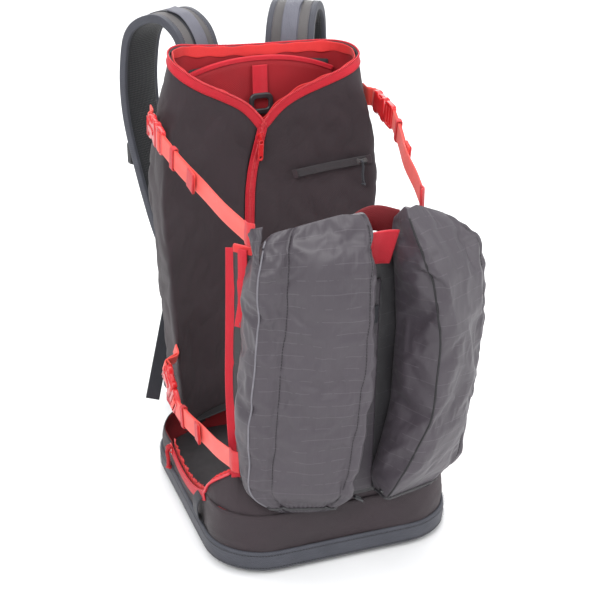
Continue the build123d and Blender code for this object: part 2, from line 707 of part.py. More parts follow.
with BuildPart() as buckle_sockets:
    for name in STRAPS:
        plane = buckle_plane(name)
        with BuildSketch(plane.offset(-SOCKET_THICKNESS / 2)):
            with Locations((SOCKET_LENGTH / 2, 0)):
                RectangleRounded(SOCKET_LENGTH, SOCKET_WIDTH, 4)
        extrude(amount=SOCKET_THICKNESS)
        with BuildSketch(plane.offset(-3.4)):
            with Locations((SOCKET_FLOOR, 0)):
                Rectangle(SOCKET_LENGTH, SOCKET_WIDTH - 7, align=(Align.MIN, Align.CENTER))
        extrude(amount=6.8, mode=Mode.SUBTRACT)
save(buckle_sockets.part, "buckle_sockets")

with BuildPart() as strap_anchor_tabs:
    for name, (x, (_, z), _, _) in STRAPS.items():
        plane = buckle_plane(name)
        with BuildSketch(plane.offset(-WEB_THICKNESS / 2)):
            with Locations((-GAP, 0)):
                Rectangle(14, WEB, align=(Align.MAX, Align.CENTER))
        extrude(amount=WEB_THICKNESS)
        with BuildSketch(plane):
            with Locations((-14 - GAP, 0)):
                Rectangle(2, WEB, align=(Align.MIN, Align.CENTER))
        extrude(amount=-(x - (1 if x > 0 else -1) * (bag_half_width(z) + 3.5)))
save(strap_anchor_tabs.part, "strap_anchor_tabs")

for name, (x, _, _, sewn_end) in STRAPS.items():
    with BuildPart() as buckle_plug:
        with BuildSketch(buckle_plane(name).offset(-2)):
            with Locations((SOCKET_FLOOR + 3, 0)):
                Rectangle(24, SOCKET_WIDTH - 10, align=(Align.MIN, Align.CENTER))
            with Locations((SOCKET_FLOOR + 2, 0)):
                Rectangle(14, 8, align=(Align.MIN, Align.CENTER), mode=Mode.SUBTRACT)
        extrude(amount=4)
        with BuildSketch(buckle_plane(name).offset(-3.5)):
            with Locations(((SOCKET_LENGTH + 1 + PLUG_END) / 2, 0)):
                RectangleRounded(PLUG_END - SOCKET_LENGTH - 1, SOCKET_WIDTH, 4)
            with Locations((PLUG_END - 14, 0), (PLUG_END - 6, 0)):
                Rectangle(4, WEB + 1, mode=Mode.SUBTRACT)
        extrude(amount=7)
    save(buckle_plug.part, f"plug_{name}")

    length = webbing_length(name)
    with BuildPart() as webbing:
        with BuildSketch(webbing_plane(name).offset(-WEB_THICKNESS / 2)):
            Rectangle(length, WEB, align=(Align.MIN, Align.CENTER))
        extrude(amount=WEB_THICKNESS)
        with BuildSketch(webbing_plane(name).offset(WEB_THICKNESS / 2 + GAP)):
            Rectangle(TAIL_LENGTH, WEB, align=(Align.MIN, Align.CENTER))
        extrude(amount=WEB_THICKNESS)
        with BuildSketch(webbing_plane(name).offset(-2.4)):
            with Locations((KEEPER_AT, 0)):
                Rectangle(8, WEB + 5)
                Rectangle(8, WEB + 1, mode=Mode.SUBTRACT)
        extrude(amount=7)
        for face in (-2.4, 3.4):
            with BuildSketch(webbing_plane(name).offset(face)):
                with Locations((KEEPER_AT, 0)):
                    Rectangle(8, WEB + 5)
            extrude(amount=1.2)
    save(webbing.part, f"webbing_{name}")

with BuildPart() as panel_tabs:
    for name, (low_x, high_x, low_y, high_y) in PANEL_TABS.items():
        sewn_end = STRAPS[name][3]
        with BuildSketch(Plane.XY.offset(sewn_end[2] - TAB_LENGTH / 2)):
            with Locations((low_x, low_y)):
                Rectangle(high_x - low_x, high_y - low_y, align=(Align.MIN, Align.MIN))
        extrude(amount=TAB_LENGTH)
save(panel_tabs.part, "panel_tabs")
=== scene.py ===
from math import asin, cos, pi, radians, sin, sqrt

import bpy
import numpy as np
from mathutils import Matrix, Vector, noise


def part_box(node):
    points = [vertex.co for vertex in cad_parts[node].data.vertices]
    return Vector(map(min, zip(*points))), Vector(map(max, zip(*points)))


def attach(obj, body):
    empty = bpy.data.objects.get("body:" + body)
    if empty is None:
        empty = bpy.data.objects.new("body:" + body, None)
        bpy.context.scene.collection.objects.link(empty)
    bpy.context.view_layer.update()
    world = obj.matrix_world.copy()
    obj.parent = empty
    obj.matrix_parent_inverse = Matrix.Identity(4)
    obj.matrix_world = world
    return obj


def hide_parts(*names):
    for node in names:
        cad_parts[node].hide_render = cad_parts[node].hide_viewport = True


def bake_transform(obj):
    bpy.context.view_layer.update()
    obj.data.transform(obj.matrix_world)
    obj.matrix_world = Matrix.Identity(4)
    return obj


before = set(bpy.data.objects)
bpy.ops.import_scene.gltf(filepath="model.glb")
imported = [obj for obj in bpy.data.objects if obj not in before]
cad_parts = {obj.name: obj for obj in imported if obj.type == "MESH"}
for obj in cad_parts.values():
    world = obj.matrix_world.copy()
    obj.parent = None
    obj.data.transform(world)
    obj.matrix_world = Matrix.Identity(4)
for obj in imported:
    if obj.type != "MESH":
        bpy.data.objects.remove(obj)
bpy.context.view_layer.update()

# A ski backpack with its front panel let out. Points are in millimetres, in the part's own frame.
# +Z is up, -Y is the front, +Y the wearer's side, +X the viewer's right seen from the front.

MM = 0.001
SIDES = {"left": -1, "right": 1}

# ---- camera ----
CAMERA_TARGET = Vector((0.0385, 0.0964, 0.219))
CAMERA_DISTANCE = 1.8697
CAMERA_TURN, CAMERA_TILT = radians(-19.9), radians(24.8)

camera = bpy.data.objects.new("camera", bpy.data.cameras.new("camera"))
camera.data.lens = 85
camera.data.sensor_width = 36
camera.location = CAMERA_TARGET + CAMERA_DISTANCE * Vector(
    (sin(CAMERA_TURN) * cos(CAMERA_TILT), -cos(CAMERA_TURN) * cos(CAMERA_TILT), sin(CAMERA_TILT))
)
camera.rotation_euler = (pi / 2 - CAMERA_TILT, 0, CAMERA_TURN)
bpy.context.scene.collection.objects.link(camera)
bpy.context.scene.camera = camera


# ---- materials ----
class Nodes:
    """A material's node tree, with one short call for each kind of node."""

    def __init__(self, name):
        self.material = bpy.data.materials.new(name)
        self.material.use_nodes = True
        self.tree = self.material.node_tree
        self.shader = self.tree.nodes["Principled BSDF"]

    def add(self, kind, inputs=(), **settings):
        """Adds a node; each input is a constant, or the socket that feeds it."""
        node = self.tree.nodes.new(kind)
        for key, value in settings.items():
            setattr(node, key, value)
        for key, value in dict(inputs).items():
            self.feed(node.inputs[key], value)
        return node

    def feed(self, socket, value):
        """Sets a socket to a constant, or links another socket to it."""
        if isinstance(value, bpy.types.NodeSocket):
            self.tree.links.new(value, socket)
        else:
            socket.default_value = value

    def math(self, operation, first, second=0.0):
        """A sum on one or two numbers."""
        return self.add("ShaderNodeMath", {0: first, 1: second}, operation=operation).outputs[0]

    def noise(self, vector, scale, detail=3.0):
        """Soft noise between 0 and 1."""
        inputs = {"Vector": vector, "Scale": scale, "Detail": detail}
        return self.add("ShaderNodeTexNoise", inputs).outputs["Fac"]

    def mix(self, share, first, second):
        """Blends two colours by a share."""
        node = self.tree.nodes.new("ShaderNodeMix")
        node.data_type = "RGBA"
        colours = {socket.name: socket for socket in node.inputs if socket.type == "RGBA"}
        self.feed(node.inputs[0], share)
        self.feed(colours["A"], first)
        self.feed(colours["B"], second)
        return next(socket for socket in node.outputs if socket.type == "RGBA")

    def place(self):
        """The point on the object, in metres."""
        return self.add("ShaderNodeTexCoord").outputs["Object"]

    def cloth(self):
        """The two coordinates along and across the cloth, in metres."""
        vector = self.add("ShaderNodeUVMap", uv_map="cloth").outputs["UV"]
        parts = self.add("ShaderNodeSeparateXYZ", {"Vector": vector})
        return parts.outputs["X"], parts.outputs["Y"]

    def wave(self, coordinate, pitch):
        """Goes from 0 to 1 and back once in each pitch."""
        turn = self.math("MULTIPLY", coordinate, 2 * pi / pitch)
        return self.math("MULTIPLY_ADD", self.math("SINE", turn), 0.5)

    def line(self, coordinate, pitch, width):
        """1 on a thin line once in each pitch, 0 elsewhere."""
        share = self.math("FRACT", self.math("DIVIDE", coordinate, pitch))
        return self.math("LESS_THAN", share, width / pitch)

    def finish(self, colour, roughness, height=None, distance=0.0003, strength=1.0, **settings):
        """Fills the shader. settings are constants on its own sockets."""
        self.feed(self.shader.inputs["Base Color"], colour)
        self.feed(self.shader.inputs["Roughness"], roughness)
        for key, value in settings.items():
            self.shader.inputs[key.replace("_", " ")].default_value = value
        if height is not None:
            bump = self.add("ShaderNodeBump", {"Height": height, "Distance": distance, "Strength": strength})
            self.tree.links.new(bump.outputs[0], self.shader.inputs["Normal"])
        return self.material


def rgb(red, green, blue):
    """An opaque colour in linear light."""
    return (red, green, blue, 1.0)


def weave_height(nodes, pitch):
    """Plain weave from the cloth's own coordinates: two crossed sets of yarns."""
    along, across = nodes.cloth()
    warp = nodes.math("SINE", nodes.math("MULTIPLY", along, pi / pitch))
    weft = nodes.math("SINE", nodes.math("MULTIPLY", across, pi / pitch))
    return nodes.math("MULTIPLY", warp, weft)


def packcloth(name, dark, light, pitch=0.0011, roughness=0.72, sheen=0.06, coat=0.0):
    """Coated woven cloth with slow patches of light and dark and a fine yarn grain."""
    nodes = Nodes(name)
    place = nodes.place()
    patches = nodes.noise(place, 9.0)
    grain = nodes.noise(place, 900.0, 2.0)
    share = nodes.math("MULTIPLY_ADD", nodes.math("SUBTRACT", patches, 0.5), 1.3)
    share.node.inputs[2].default_value = 0.5
    share = nodes.math("ADD", share, nodes.math("MULTIPLY", nodes.math("SUBTRACT", grain, 0.5), 0.45))
    colour = nodes.mix(share, dark, light)
    height = nodes.math("ADD", weave_height(nodes, pitch), nodes.math("MULTIPLY", grain, 0.8))
    rough = nodes.math("MULTIPLY_ADD", nodes.math("SUBTRACT", patches, 0.5), 0.25)
    rough.node.inputs[2].default_value = roughness
    settings = {"Sheen_Weight": sheen, "Coat_Weight": coat, "Coat_Roughness": 0.45}
    return nodes.finish(colour, rough, height, 0.00025, 0.6, **settings)


def ripstop(name, dark, light, grid_highlight_colour, pitch=0.0145, roughness=0.5):
    """Grey ripstop: a plain ground with thin doubled yarns in a grid, painted lighter in places as a painted
    highlight where they catch the light.
    """
    nodes = Nodes(name)
    place = nodes.place()
    along, across = nodes.cloth()
    patches = nodes.noise(place, 7.0)
    grain = nodes.noise(place, 700.0, 2.0)
    broken = nodes.noise(place, 55.0)
    highlight_shown = nodes.math("GREATER_THAN", broken, 0.47)
    level = nodes.line(across, pitch, 0.0009)
    upright = nodes.math("MULTIPLY", nodes.line(along, pitch * 0.62, 0.0006), 0.22)
    grid = nodes.math("MULTIPLY", nodes.math("MAXIMUM", level, upright), highlight_shown)
    share = nodes.math("ADD", nodes.math("MULTIPLY", patches, 0.75), nodes.math("MULTIPLY", grain, 0.3))
    ground = nodes.mix(share, dark, light)
    # Painted highlight: the grid yarns take the lighter grid colour, only where the noise lets them show.
    colour = nodes.mix(nodes.math("MULTIPLY", grid, 0.22), ground, grid_highlight_colour)
    height = nodes.math("ADD", nodes.math("MULTIPLY", grain, 0.7), nodes.math("MULTIPLY", grid, 1.2))
    rough = nodes.math("MULTIPLY_ADD", patches, 0.25)
    rough.node.inputs[2].default_value = roughness - 0.12
    return nodes.finish(colour, rough, height, 0.0002, 0.6, Sheen_Weight=0.04, Coat_Weight=0.06,
                        Coat_Roughness=0.4)


def webbing(name, dark, light, pitch=0.0016, roughness=0.62, sheen=0.06):
    """Woven tape: slanting ribs that meet in its middle, with rows of yarn along it."""
    nodes = Nodes(name)
    place = nodes.place()
    along, across = nodes.cloth()
    slant = nodes.math("ADD", along, nodes.math("ABSOLUTE", across))
    ribs = nodes.wave(slant, pitch)
    rows = nodes.wave(across, pitch * 1.3)
    patches = nodes.noise(place, 60.0)
    grain = nodes.noise(place, 1500.0, 2.0)
    share = nodes.math("ADD", nodes.math("MULTIPLY", ribs, 0.35), nodes.math("MULTIPLY", patches, 0.55))
    share = nodes.math("ADD", share, nodes.math("MULTIPLY", grain, 0.3))
    colour = nodes.mix(share, dark, light)
    height = nodes.math("ADD", ribs, nodes.math("MULTIPLY", rows, 0.6))
    return nodes.finish(colour, roughness, height, 0.0003, 0.7, Sheen_Weight=sheen)


def spacer_mesh(name, dark, light, pitch=0.0032):
    """Knitted spacer mesh: rows of small dark holes between pale yarns."""
    nodes = Nodes(name)
    along, across = nodes.cloth()
    holes = nodes.math("MULTIPLY", nodes.wave(along, pitch), nodes.wave(across, pitch * 0.8))
    grain = nodes.noise(nodes.place(), 800.0, 2.0)
    share = nodes.math("ADD", nodes.math("MULTIPLY", holes, 0.8), nodes.math("MULTIPLY", grain, 0.3))
    return nodes.finish(nodes.mix(share, dark, light), 0.85, holes, 0.0006, 0.9, Sheen_Weight=0.2)


def moulded(name, dark, light, roughness, coat):
    """Moulded plastic or satin metal with faint mottling and scuffs."""
    nodes = Nodes(name)
    place = nodes.place()
    mottle = nodes.noise(place, 120.0)
    scuffs = nodes.noise(place, 1400.0, 4.0)
    colour = nodes.mix(mottle, dark, light)
    rough = nodes.math("MULTIPLY_ADD", scuffs, 0.22)
    rough.node.inputs[2].default_value = roughness
    return nodes.finish(colour, rough, scuffs, 0.00006, 0.4, Coat_Weight=coat, Coat_Roughness=0.12)


SHELL = packcloth("shell_cloth", rgb(0.0150, 0.0085, 0.0112), rgb(0.0315, 0.0190, 0.0240))
# The last colour of each ripstop is its grid yarns' painted highlight.
RIPSTOP = ripstop("pod_ripstop", rgb(0.030, 0.0240, 0.0305), rgb(0.0570, 0.0465, 0.0575),
                  rgb(0.15, 0.135, 0.15))
RIPSTOP_DARK = ripstop("panel_ripstop", rgb(0.012, 0.011, 0.013), rgb(0.030, 0.028, 0.031),
                       rgb(0.07, 0.07, 0.07))
LINING = packcloth("red_lining", rgb(0.15, 0.001, 0.004), rgb(0.36, 0.003, 0.010), 0.0013, 0.7, 0.05)
# A darker copy of the red lining: painted shade, used for the lining inside the channel's hood.
LINING_SHADED = packcloth("shaded_red_lining", rgb(0.09, 0.0008, 0.003), rgb(0.20, 0.002, 0.007), 0.0013, 0.75,
                        0.02)
FRILL = packcloth("red_binding_cloth", rgb(0.50, 0.010, 0.014), rgb(0.72, 0.030, 0.028), 0.0010, 0.65, 0.1)
TAPE = webbing("zip_tape", rgb(0.36, 0.001, 0.010), rgb(0.60, 0.003, 0.020), 0.0013)
TEETH = moulded("zip_coil", rgb(0.50, 0.006, 0.02), rgb(0.70, 0.06, 0.07), 0.28, 0.3)
DARK_TAPE = webbing("dark_zip_tape", rgb(0.012, 0.010, 0.012), rgb(0.035, 0.030, 0.034), 0.0013)
DARK_TEETH = moulded("dark_zip_coil", rgb(0.02, 0.02, 0.02), rgb(0.06, 0.055, 0.06), 0.35, 0.2)
CORAL = webbing("coral_webbing", rgb(0.66, 0.034, 0.026), rgb(0.90, 0.090, 0.065), 0.0018, 0.6, 0.15)
CORAL_EDGE = webbing("coral_elastic", rgb(0.42, 0.006, 0.012), rgb(0.62, 0.020, 0.026), 0.0012, 0.6, 0.1)
BUCKLE = moulded("red_acetal", rgb(0.46, 0.006, 0.009), rgb(0.60, 0.014, 0.016), 0.24, 0.3)
BINDING_CLOTH = webbing("slate_binding", rgb(0.020, 0.021, 0.029), rgb(0.060, 0.062, 0.078), 0.0026, 0.68)
DARK_WEB = webbing("dark_webbing", rgb(0.009, 0.010, 0.013), rgb(0.032, 0.033, 0.042), 0.0018, 0.66)
GREY_WEB = webbing("grey_webbing", rgb(0.055, 0.055, 0.072), rgb(0.14, 0.14, 0.17), 0.0018, 0.66)
STRAP_FACE = packcloth("strap_face", rgb(0.055, 0.050, 0.050), rgb(0.105, 0.098, 0.098), 0.0012, 0.7, 0.05)
MESH = spacer_mesh("black_mesh", rgb(0.002, 0.0022, 0.003), rgb(0.018, 0.019, 0.022))
PLASTIC = moulded("black_acetal", rgb(0.010, 0.010, 0.012), rgb(0.028, 0.028, 0.032), 0.32, 0.25)
METAL = moulded("satin_black_metal", rgb(0.035, 0.033, 0.035), rgb(0.09, 0.085, 0.085), 0.3, 0.3)
CORD = webbing("braided_cord", rgb(0.30, 0.002, 0.008), rgb(0.55, 0.012, 0.022), 0.0011, 0.6)
THREAD_PALE = moulded("pale_thread", rgb(0.11, 0.105, 0.12), rgb(0.19, 0.18, 0.20), 0.6, 0.0)
THREAD_DARK = moulded("dark_thread", rgb(0.006, 0.006, 0.007), rgb(0.016, 0.015, 0.017), 0.6, 0.0)
THREAD_RED = moulded("red_thread", rgb(0.28, 0.002, 0.006), rgb(0.45, 0.008, 0.014), 0.6, 0.0)
LINER = packcloth("dark_liner", rgb(0.006, 0.006, 0.007), rgb(0.018, 0.017, 0.019), 0.0013, 0.6, 0.05)
BOARD = moulded("board_sheet", rgb(0.030, 0.028, 0.030), rgb(0.055, 0.052, 0.055), 0.55, 0.0)
ALUMINIUM = moulded("brushed_aluminium", rgb(0.50, 0.50, 0.52), rgb(0.68, 0.68, 0.70), 0.3, 0.0)
ALUMINIUM.node_tree.nodes["Principled BSDF"].inputs["Metallic"].default_value = 1.0


# ---- geometry helpers ----
def unit(vectors):
    """Vectors of length 1."""
    vectors = np.asarray(vectors, float)
    return vectors / np.maximum(np.linalg.norm(vectors, axis=-1, keepdims=True), 1e-9)


def link(name, mesh, material):
    """A smooth-shaded piece in the scene, made of one mesh."""
    mesh.materials.append(material)
    mesh.polygons.foreach_set("use_smooth", [True] * len(mesh.polygons))
    piece = bpy.data.objects.new(name, mesh)
    bpy.context.scene.collection.objects.link(piece)
    return piece


def surface(name, grid, material, wrap=False, caps=False, flip=False):
    """A mesh over a grid of points, rows by columns; its UV map "cloth" is in metres."""
    grid = np.asarray(grid, float)
    rows, columns = grid.shape[:2]
    ring = grid if not wrap else np.concatenate([grid, grid[:, :1]], axis=1)
    step_u = np.linalg.norm(np.diff(ring, axis=1), axis=2).mean(axis=0)
    step_v = np.linalg.norm(np.diff(ring, axis=0), axis=2).mean(axis=1)
    u = np.concatenate([[0], np.cumsum(step_u)]) * MM
    v = np.concatenate([[0], np.cumsum(step_v)]) * MM
    faces, uvs = [], []
    for i in range(rows - 1):
        for j in range(columns if wrap else columns - 1):
            k = (j + 1) % columns
            corners = [(i, j, j), (i, k, j + 1), (i + 1, k, j + 1), (i + 1, j, j)]
            if flip:
                corners.reverse()
            faces.append([row * columns + column for row, column, _ in corners])
            uvs.extend((u[place], v[row]) for row, _, place in corners)
    if caps:
        for row, backwards in ((0, not flip), (rows - 1, flip)):
            order = range(columns)[::-1] if backwards else range(columns)
            faces.append([row * columns + column for column in order])
            middle = grid[row].mean(axis=0)
            uvs.extend(((grid[row, column] - middle)[0] * MM, (grid[row, column] - middle)[1] * MM)
                       for column in order)
    mesh = bpy.data.meshes.new(name)
    mesh.from_pydata((grid.reshape(-1, 3) * MM).tolist(), [], faces)
    layer = mesh.uv_layers.new(name="cloth")
    layer.data.foreach_set("uv", np.array(uvs).ravel())
    return link(name, mesh, material)


def normals_of(grid):
    """Normals of a grid of points, by the same hand as surface()."""
    down = np.gradient(grid, axis=0)
    along = np.gradient(grid, axis=1)
    return unit(np.cross(along, down))


def settle(piece):
    """Applies a mesh piece's modifiers, or turns a curve into a mesh, and returns the piece."""
    graph = bpy.context.evaluated_depsgraph_get()
    graph.update()
    mesh = bpy.data.meshes.new_from_object(piece.evaluated_get(graph), preserve_all_data_layers=True,
                                           depsgraph=graph)
    mesh.transform(piece.matrix_world)
    name, materials = piece.name, list(piece.data.materials)
    bpy.data.objects.remove(piece)
    if not mesh.materials:
        for material in materials:
            mesh.materials.append(material)
    mesh.name = name
    mesh.polygons.foreach_set("use_smooth", [True] * len(mesh.polygons))
    settled = bpy.data.objects.new(name, mesh)
    bpy.context.scene.collection.objects.link(settled)
    return settled


def thicken(piece, thickness, offset=-1.0):
    """Gives a sheet its thickness: behind its surface at -1, in front of it at 1."""
    solid = piece.modifiers.new("solid", "SOLIDIFY")
    solid.thickness = thickness * MM
    solid.offset = offset
    return settle(piece)


def keep(piece, body, *nodes, slot=None, fill=None):
    """Parents a finished piece to its body's empty and hides the CAD nodes it stands for; slot is not used.
    """
    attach(piece, body)
    if nodes:
        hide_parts(*nodes)
    return piece


def through(points, count, closed=False):
    """A smooth curve through points, cut into evenly spaced points."""
    points = np.asarray(points, float)
    if closed:
        ends = np.concatenate([points[-1:], points, points[:2]])
    else:
        ends = np.concatenate([[2 * points[0] - points[1]], points, [2 * points[-1] - points[-2]]])
    fine = []
    for a, b, c, d in zip(ends, ends[1:], ends[2:], ends[3:]):
        for t in np.linspace(0, 1, 16, endpoint=False):
            curve = 2 * b + (c - a) * t + (2 * a - 5 * b + 4 * c - d) * t**2 + (3 * b - a - 3 * c + d) * t**3
            fine.append(0.5 * curve)
    fine.append(ends[-2])
    return even(np.array(fine), count, closed)


def even(path, count, closed=False):
    """A path cut into evenly spaced points; a closed one leaves its last point out."""
    steps = np.linalg.norm(np.diff(path, axis=0), axis=1)
    run = np.concatenate([[0], np.cumsum(steps)])
    at = np.linspace(0, run[-1], count + 1)[:-1] if closed else np.linspace(0, run[-1], count)
    return np.stack([np.interp(at, run, path[:, axis]) for axis in range(3)], axis=1)


def path_frame(path, side, closed=False):
    """Directions along a path, across it and out of it, from a wished direction across."""
    if closed:
        along = unit(np.roll(path, -1, axis=0) - np.roll(path, 1, axis=0))
    else:
        along = unit(np.gradient(path, axis=0))
    side = np.broadcast_to(np.asarray(side, float), path.shape)
    side = unit(side - along * np.sum(side * along, axis=1, keepdims=True))
    return along, side, np.cross(along, side)


def ribbon(name, path, side, width, thickness, material, closed=False, lift=0.0, crown=0.0):
    """A woven band along a path, with soft edges; lift moves it outwards, crown bows it."""
    path = np.asarray(path, float)
    _, side, out = path_frame(path, side, closed)
    width = np.broadcast_to(np.asarray(width, float), (len(path),))
    half = thickness / 2
    shares = np.array([-0.5, -0.47, -0.4, -0.2, 0, 0.2, 0.4, 0.47, 0.5])
    heights = np.array([0.25, 0.85, 1, 1, 1, 1, 1, 0.85, 0.25]) * half
    bow = crown * (1 - (2 * shares) ** 2)
    across = np.concatenate([shares, shares[::-1]])
    up = np.concatenate([heights + bow, -heights[::-1] + bow[::-1]])
    grid = (
        path[:, None, :]
        + side[:, None, :] * (across[None, :] * width[:, None])[:, :, None]
        + out[:, None, :] * (up[None, :, None] + lift)
    )
    if closed:
        grid = np.concatenate([grid, grid[:1]])
    piece = surface(name, grid, material, wrap=True, caps=not closed)
    band_uv(piece, grid, across, width.mean())
    return piece


def band_uv(piece, grid, across, width):
    """UV of a band: along it, then across it with 0 in its middle, both in metres."""
    columns = grid.shape[1]
    run = np.concatenate([[0], np.cumsum(np.linalg.norm(np.diff(grid[:, 4], axis=0), axis=1))])
    loops = np.zeros(len(piece.data.loops), int)
    piece.data.loops.foreach_get("vertex_index", loops)
    uv = np.stack([run[loops // columns], across[loops % columns] * width], axis=1) * MM
    piece.data.uv_layers["cloth"].data.foreach_set("uv", uv.ravel())


def tube(name, path, radius, material, closed=False, turns=8):
    """A round cord along a path."""
    path = np.asarray(path, float)
    _, side, out = path_frame(path, (0.31, 0.23, 0.92), closed)
    angles = np.linspace(0, 2 * pi, turns, endpoint=False)
    radius = np.broadcast_to(np.asarray(radius, float), (len(path),))
    grid = path[:, None] + radius[:, None, None] * (
        side[:, None] * np.cos(angles)[None, :, None] + out[:, None] * np.sin(angles)[None, :, None]
    )
    if closed:
        grid = np.concatenate([grid, grid[:1]])
    return surface(name, grid, material, wrap=True, caps=not closed)


def repeat(name, path, side, pitch, template, faces, material, closed=False, lift=0.0):
    """Copies of one small shape (along, across, out) at an even pitch along a path."""
    path = np.asarray(path, float)
    loop = np.concatenate([path, path[:1]]) if closed else path
    length = np.linalg.norm(np.diff(loop, axis=0), axis=1).sum()
    count = max(int(length / pitch), 2)
    side = np.broadcast_to(np.asarray(side, float), path.shape)
    side = np.concatenate([side, side[:1]]) if closed else side
    steps = np.concatenate([[0], np.cumsum(np.linalg.norm(np.diff(loop, axis=0), axis=1))])
    at = (np.arange(count) + 0.5) * length / count
    centre = np.stack([np.interp(at, steps, loop[:, k]) for k in range(3)], axis=1)
    across = np.stack([np.interp(at, steps, side[:, k]) for k in range(3)], axis=1)
    ahead = np.stack([np.interp(at + 0.4, steps, loop[:, k]) for k in range(3)], axis=1)
    behind = np.stack([np.interp(at - 0.4, steps, loop[:, k]) for k in range(3)], axis=1)
    along = unit(ahead - behind)
    across = unit(across - along * np.sum(across * along, axis=1, keepdims=True))
    out = np.cross(along, across)
    shape = np.asarray(template, float)
    points = (
        centre[:, None]
        + along[:, None] * shape[None, :, 0:1]
        + across[:, None] * shape[None, :, 1:2]
        + out[:, None] * (shape[None, :, 2:3] + lift)
    )
    all_faces = [[corner + k * len(shape) for corner in face] for k in range(count) for face in faces]
    mesh = bpy.data.meshes.new(name)
    mesh.from_pydata((points.reshape(-1, 3) * MM).tolist(), [], all_faces)
    return link(name, mesh, material)


def rod_shape(along, across, height):
    """A small rod lying across the path, higher in its middle: one tooth of a coil zip."""
    points = []
    for share, rise in ((-1, 0.35), (0, 1), (1, 0.35)):
        for place, up in ((-1, 0), (-0.55, 1), (0.55, 1), (1, 0)):
            points.append((place * along / 2, share * across / 2, up * rise * height))
    faces = []
    for section in range(2):
        for corner in range(4):
            other = (corner + 1) % 4
            start, end = section * 4, section * 4 + 4
            faces.append([start + corner, end + corner, end + other, start + other])
    faces.append([0, 1, 2, 3])
    faces.append([11, 10, 9, 8])
    return points, faces


TOOTH = rod_shape(1.1, 5.0, 1.3)
EDGE_TOOTH = rod_shape(1.1, 3.4, 1.3)
STITCH = rod_shape(0.9, 0.8, 0.5)
STITCH = ([(y * 3.0, x * 0.9, z) for x, y, z in STITCH[0]], [face[::-1] for face in STITCH[1]])
STITCH_PITCH = 3.6
TOOTH_PITCH = 1.9


def stitches(name, path, side, material, body, slot, closed=False):
    """A row of stitches along a path."""
    piece = repeat(name, path, side, STITCH_PITCH, *STITCH, material, closed)
    return keep(piece, body, slot=slot)


def band(body, slot, nodes, name, path, side, width, thickness, material, **shape):
    """A ribbon attached to its body in one go; nodes are the CAD nodes that it stands for."""
    return keep(ribbon(name, path, side, width, thickness, material, **shape), body, *nodes, slot=slot)


def node_box(node):
    """A CAD node's low and high corner, in millimetres."""
    return [np.array(corner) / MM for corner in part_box(node)]


def rounded(width, height, radius, at=(0.0, 0.0), corners=6):
    """Outline of a rounded rectangle about a point."""
    outline = []
    for quarter, (sx, sy) in enumerate(((1, 1), (-1, 1), (-1, -1), (1, -1))):
        for step in range(corners + 1):
            angle = (quarter + step / corners) * pi / 2
            x = at[0] + sx * (width / 2 - radius) + radius * cos(angle)
            y = at[1] + sy * (height / 2 - radius) + radius * sin(angle)
            outline.append((x, y))
    return outline


def plate(name, outlines, origin, x_dir, z_dir, thickness, bevel, material):
    """A plate with rounded edges, centred on its plane: the first outline is its edge, the rest holes."""
    curve = bpy.data.curves.new(name, "CURVE")
    curve.dimensions = "2D"
    curve.fill_mode = "BOTH"
    curve.extrude = (thickness / 2 - bevel) * MM
    curve.bevel_depth = bevel * MM
    curve.bevel_resolution = 2
    curve.offset = -bevel * MM
    for outline in outlines:
        spline = curve.splines.new("POLY")
        spline.points.add(len(outline) - 1)
        for point, (x, y) in zip(spline.points, outline):
            point.co = (x * MM, y * MM, 0, 1)
        spline.use_cyclic_u = True
    curve.materials.append(material)
    piece = bpy.data.objects.new(name, curve)
    bpy.context.scene.collection.objects.link(piece)
    across = Vector(x_dir).normalized()
    out = Vector(z_dir).normalized()
    up = out.cross(across)
    place = Matrix((across, up, out)).transposed().to_4x4()
    place.translation = Vector(origin) * MM
    piece.matrix_world = place
    bpy.context.view_layer.update()
    return settle(piece)


def join(name, pieces):
    """Several pieces made into one."""
    points, faces, uvs, owners, materials = [], [], [], [], []
    start = 0
    for piece in pieces:
        mesh = piece.data
        count = len(mesh.vertices)
        co = np.zeros(count * 3)
        mesh.vertices.foreach_get("co", co)
        points.append(co.reshape(-1, 3))
        layer = mesh.uv_layers.get("cloth")
        for polygon in mesh.polygons:
            faces.append([start + index for index in polygon.vertices])
            for loop in polygon.loop_indices:
                uvs.append(tuple(layer.data[loop].uv) if layer else (0.0, 0.0))
            material = mesh.materials[polygon.material_index]
            if material not in materials:
                materials.append(material)
            owners.append(materials.index(material))
        start += count
    merged = bpy.data.meshes.new(name)
    merged.from_pydata(np.concatenate(points).tolist(), [], faces)
    merged.uv_layers.new(name="cloth").data.foreach_set("uv", np.array(uvs).ravel())
    joined = link(name, merged, materials[0])
    for material in materials[1:]:
        merged.materials.append(material)
    merged.polygons.foreach_set("material_index", owners)
    for piece in pieces:
        bpy.data.objects.remove(piece)
    return joined


def folds(grid, amount, size, seed, normals=None):
    """Moves a grid along its normals by soft ridged noise; size is how big the folds are on each axis."""
    normals = normals_of(grid) if normals is None else normals
    flat = grid.reshape(-1, 3)
    moved = np.zeros(len(flat))
    for index, point in enumerate(flat):
        at = Vector(point / np.array(size)) + Vector((seed * 3.7, seed * 1.3, seed * 5.1))
        broad = noise.noise(at)
        ridge = 1 - 2 * abs(noise.noise(at * 1.9 + Vector((7.1, 2.2, 4.4))))
        moved[index] = 0.65 * broad + 0.35 * ridge * abs(ridge)
    return grid + normals * (amount * moved).reshape(grid.shape[:2])[:, :, None]


def soften(grid, axis, reach):
    """Averages a grid along one axis over reach rows each way, which rounds its corners."""
    grid = np.moveaxis(np.asarray(grid, float), axis, 0)
    padded = np.concatenate([[2 * grid[0] - grid[k] for k in range(reach, 0, -1)], grid,
                             [2 * grid[-1] - grid[-1 - k] for k in range(1, reach + 1)]])
    weights = np.hanning(2 * reach + 3)[1:-1]
    weights /= weights.sum()
    result = sum(w * padded[k:k + len(grid)] for k, w in enumerate(weights))
    result[0], result[-1] = grid[0], grid[-1]
    return np.moveaxis(result, 0, axis)


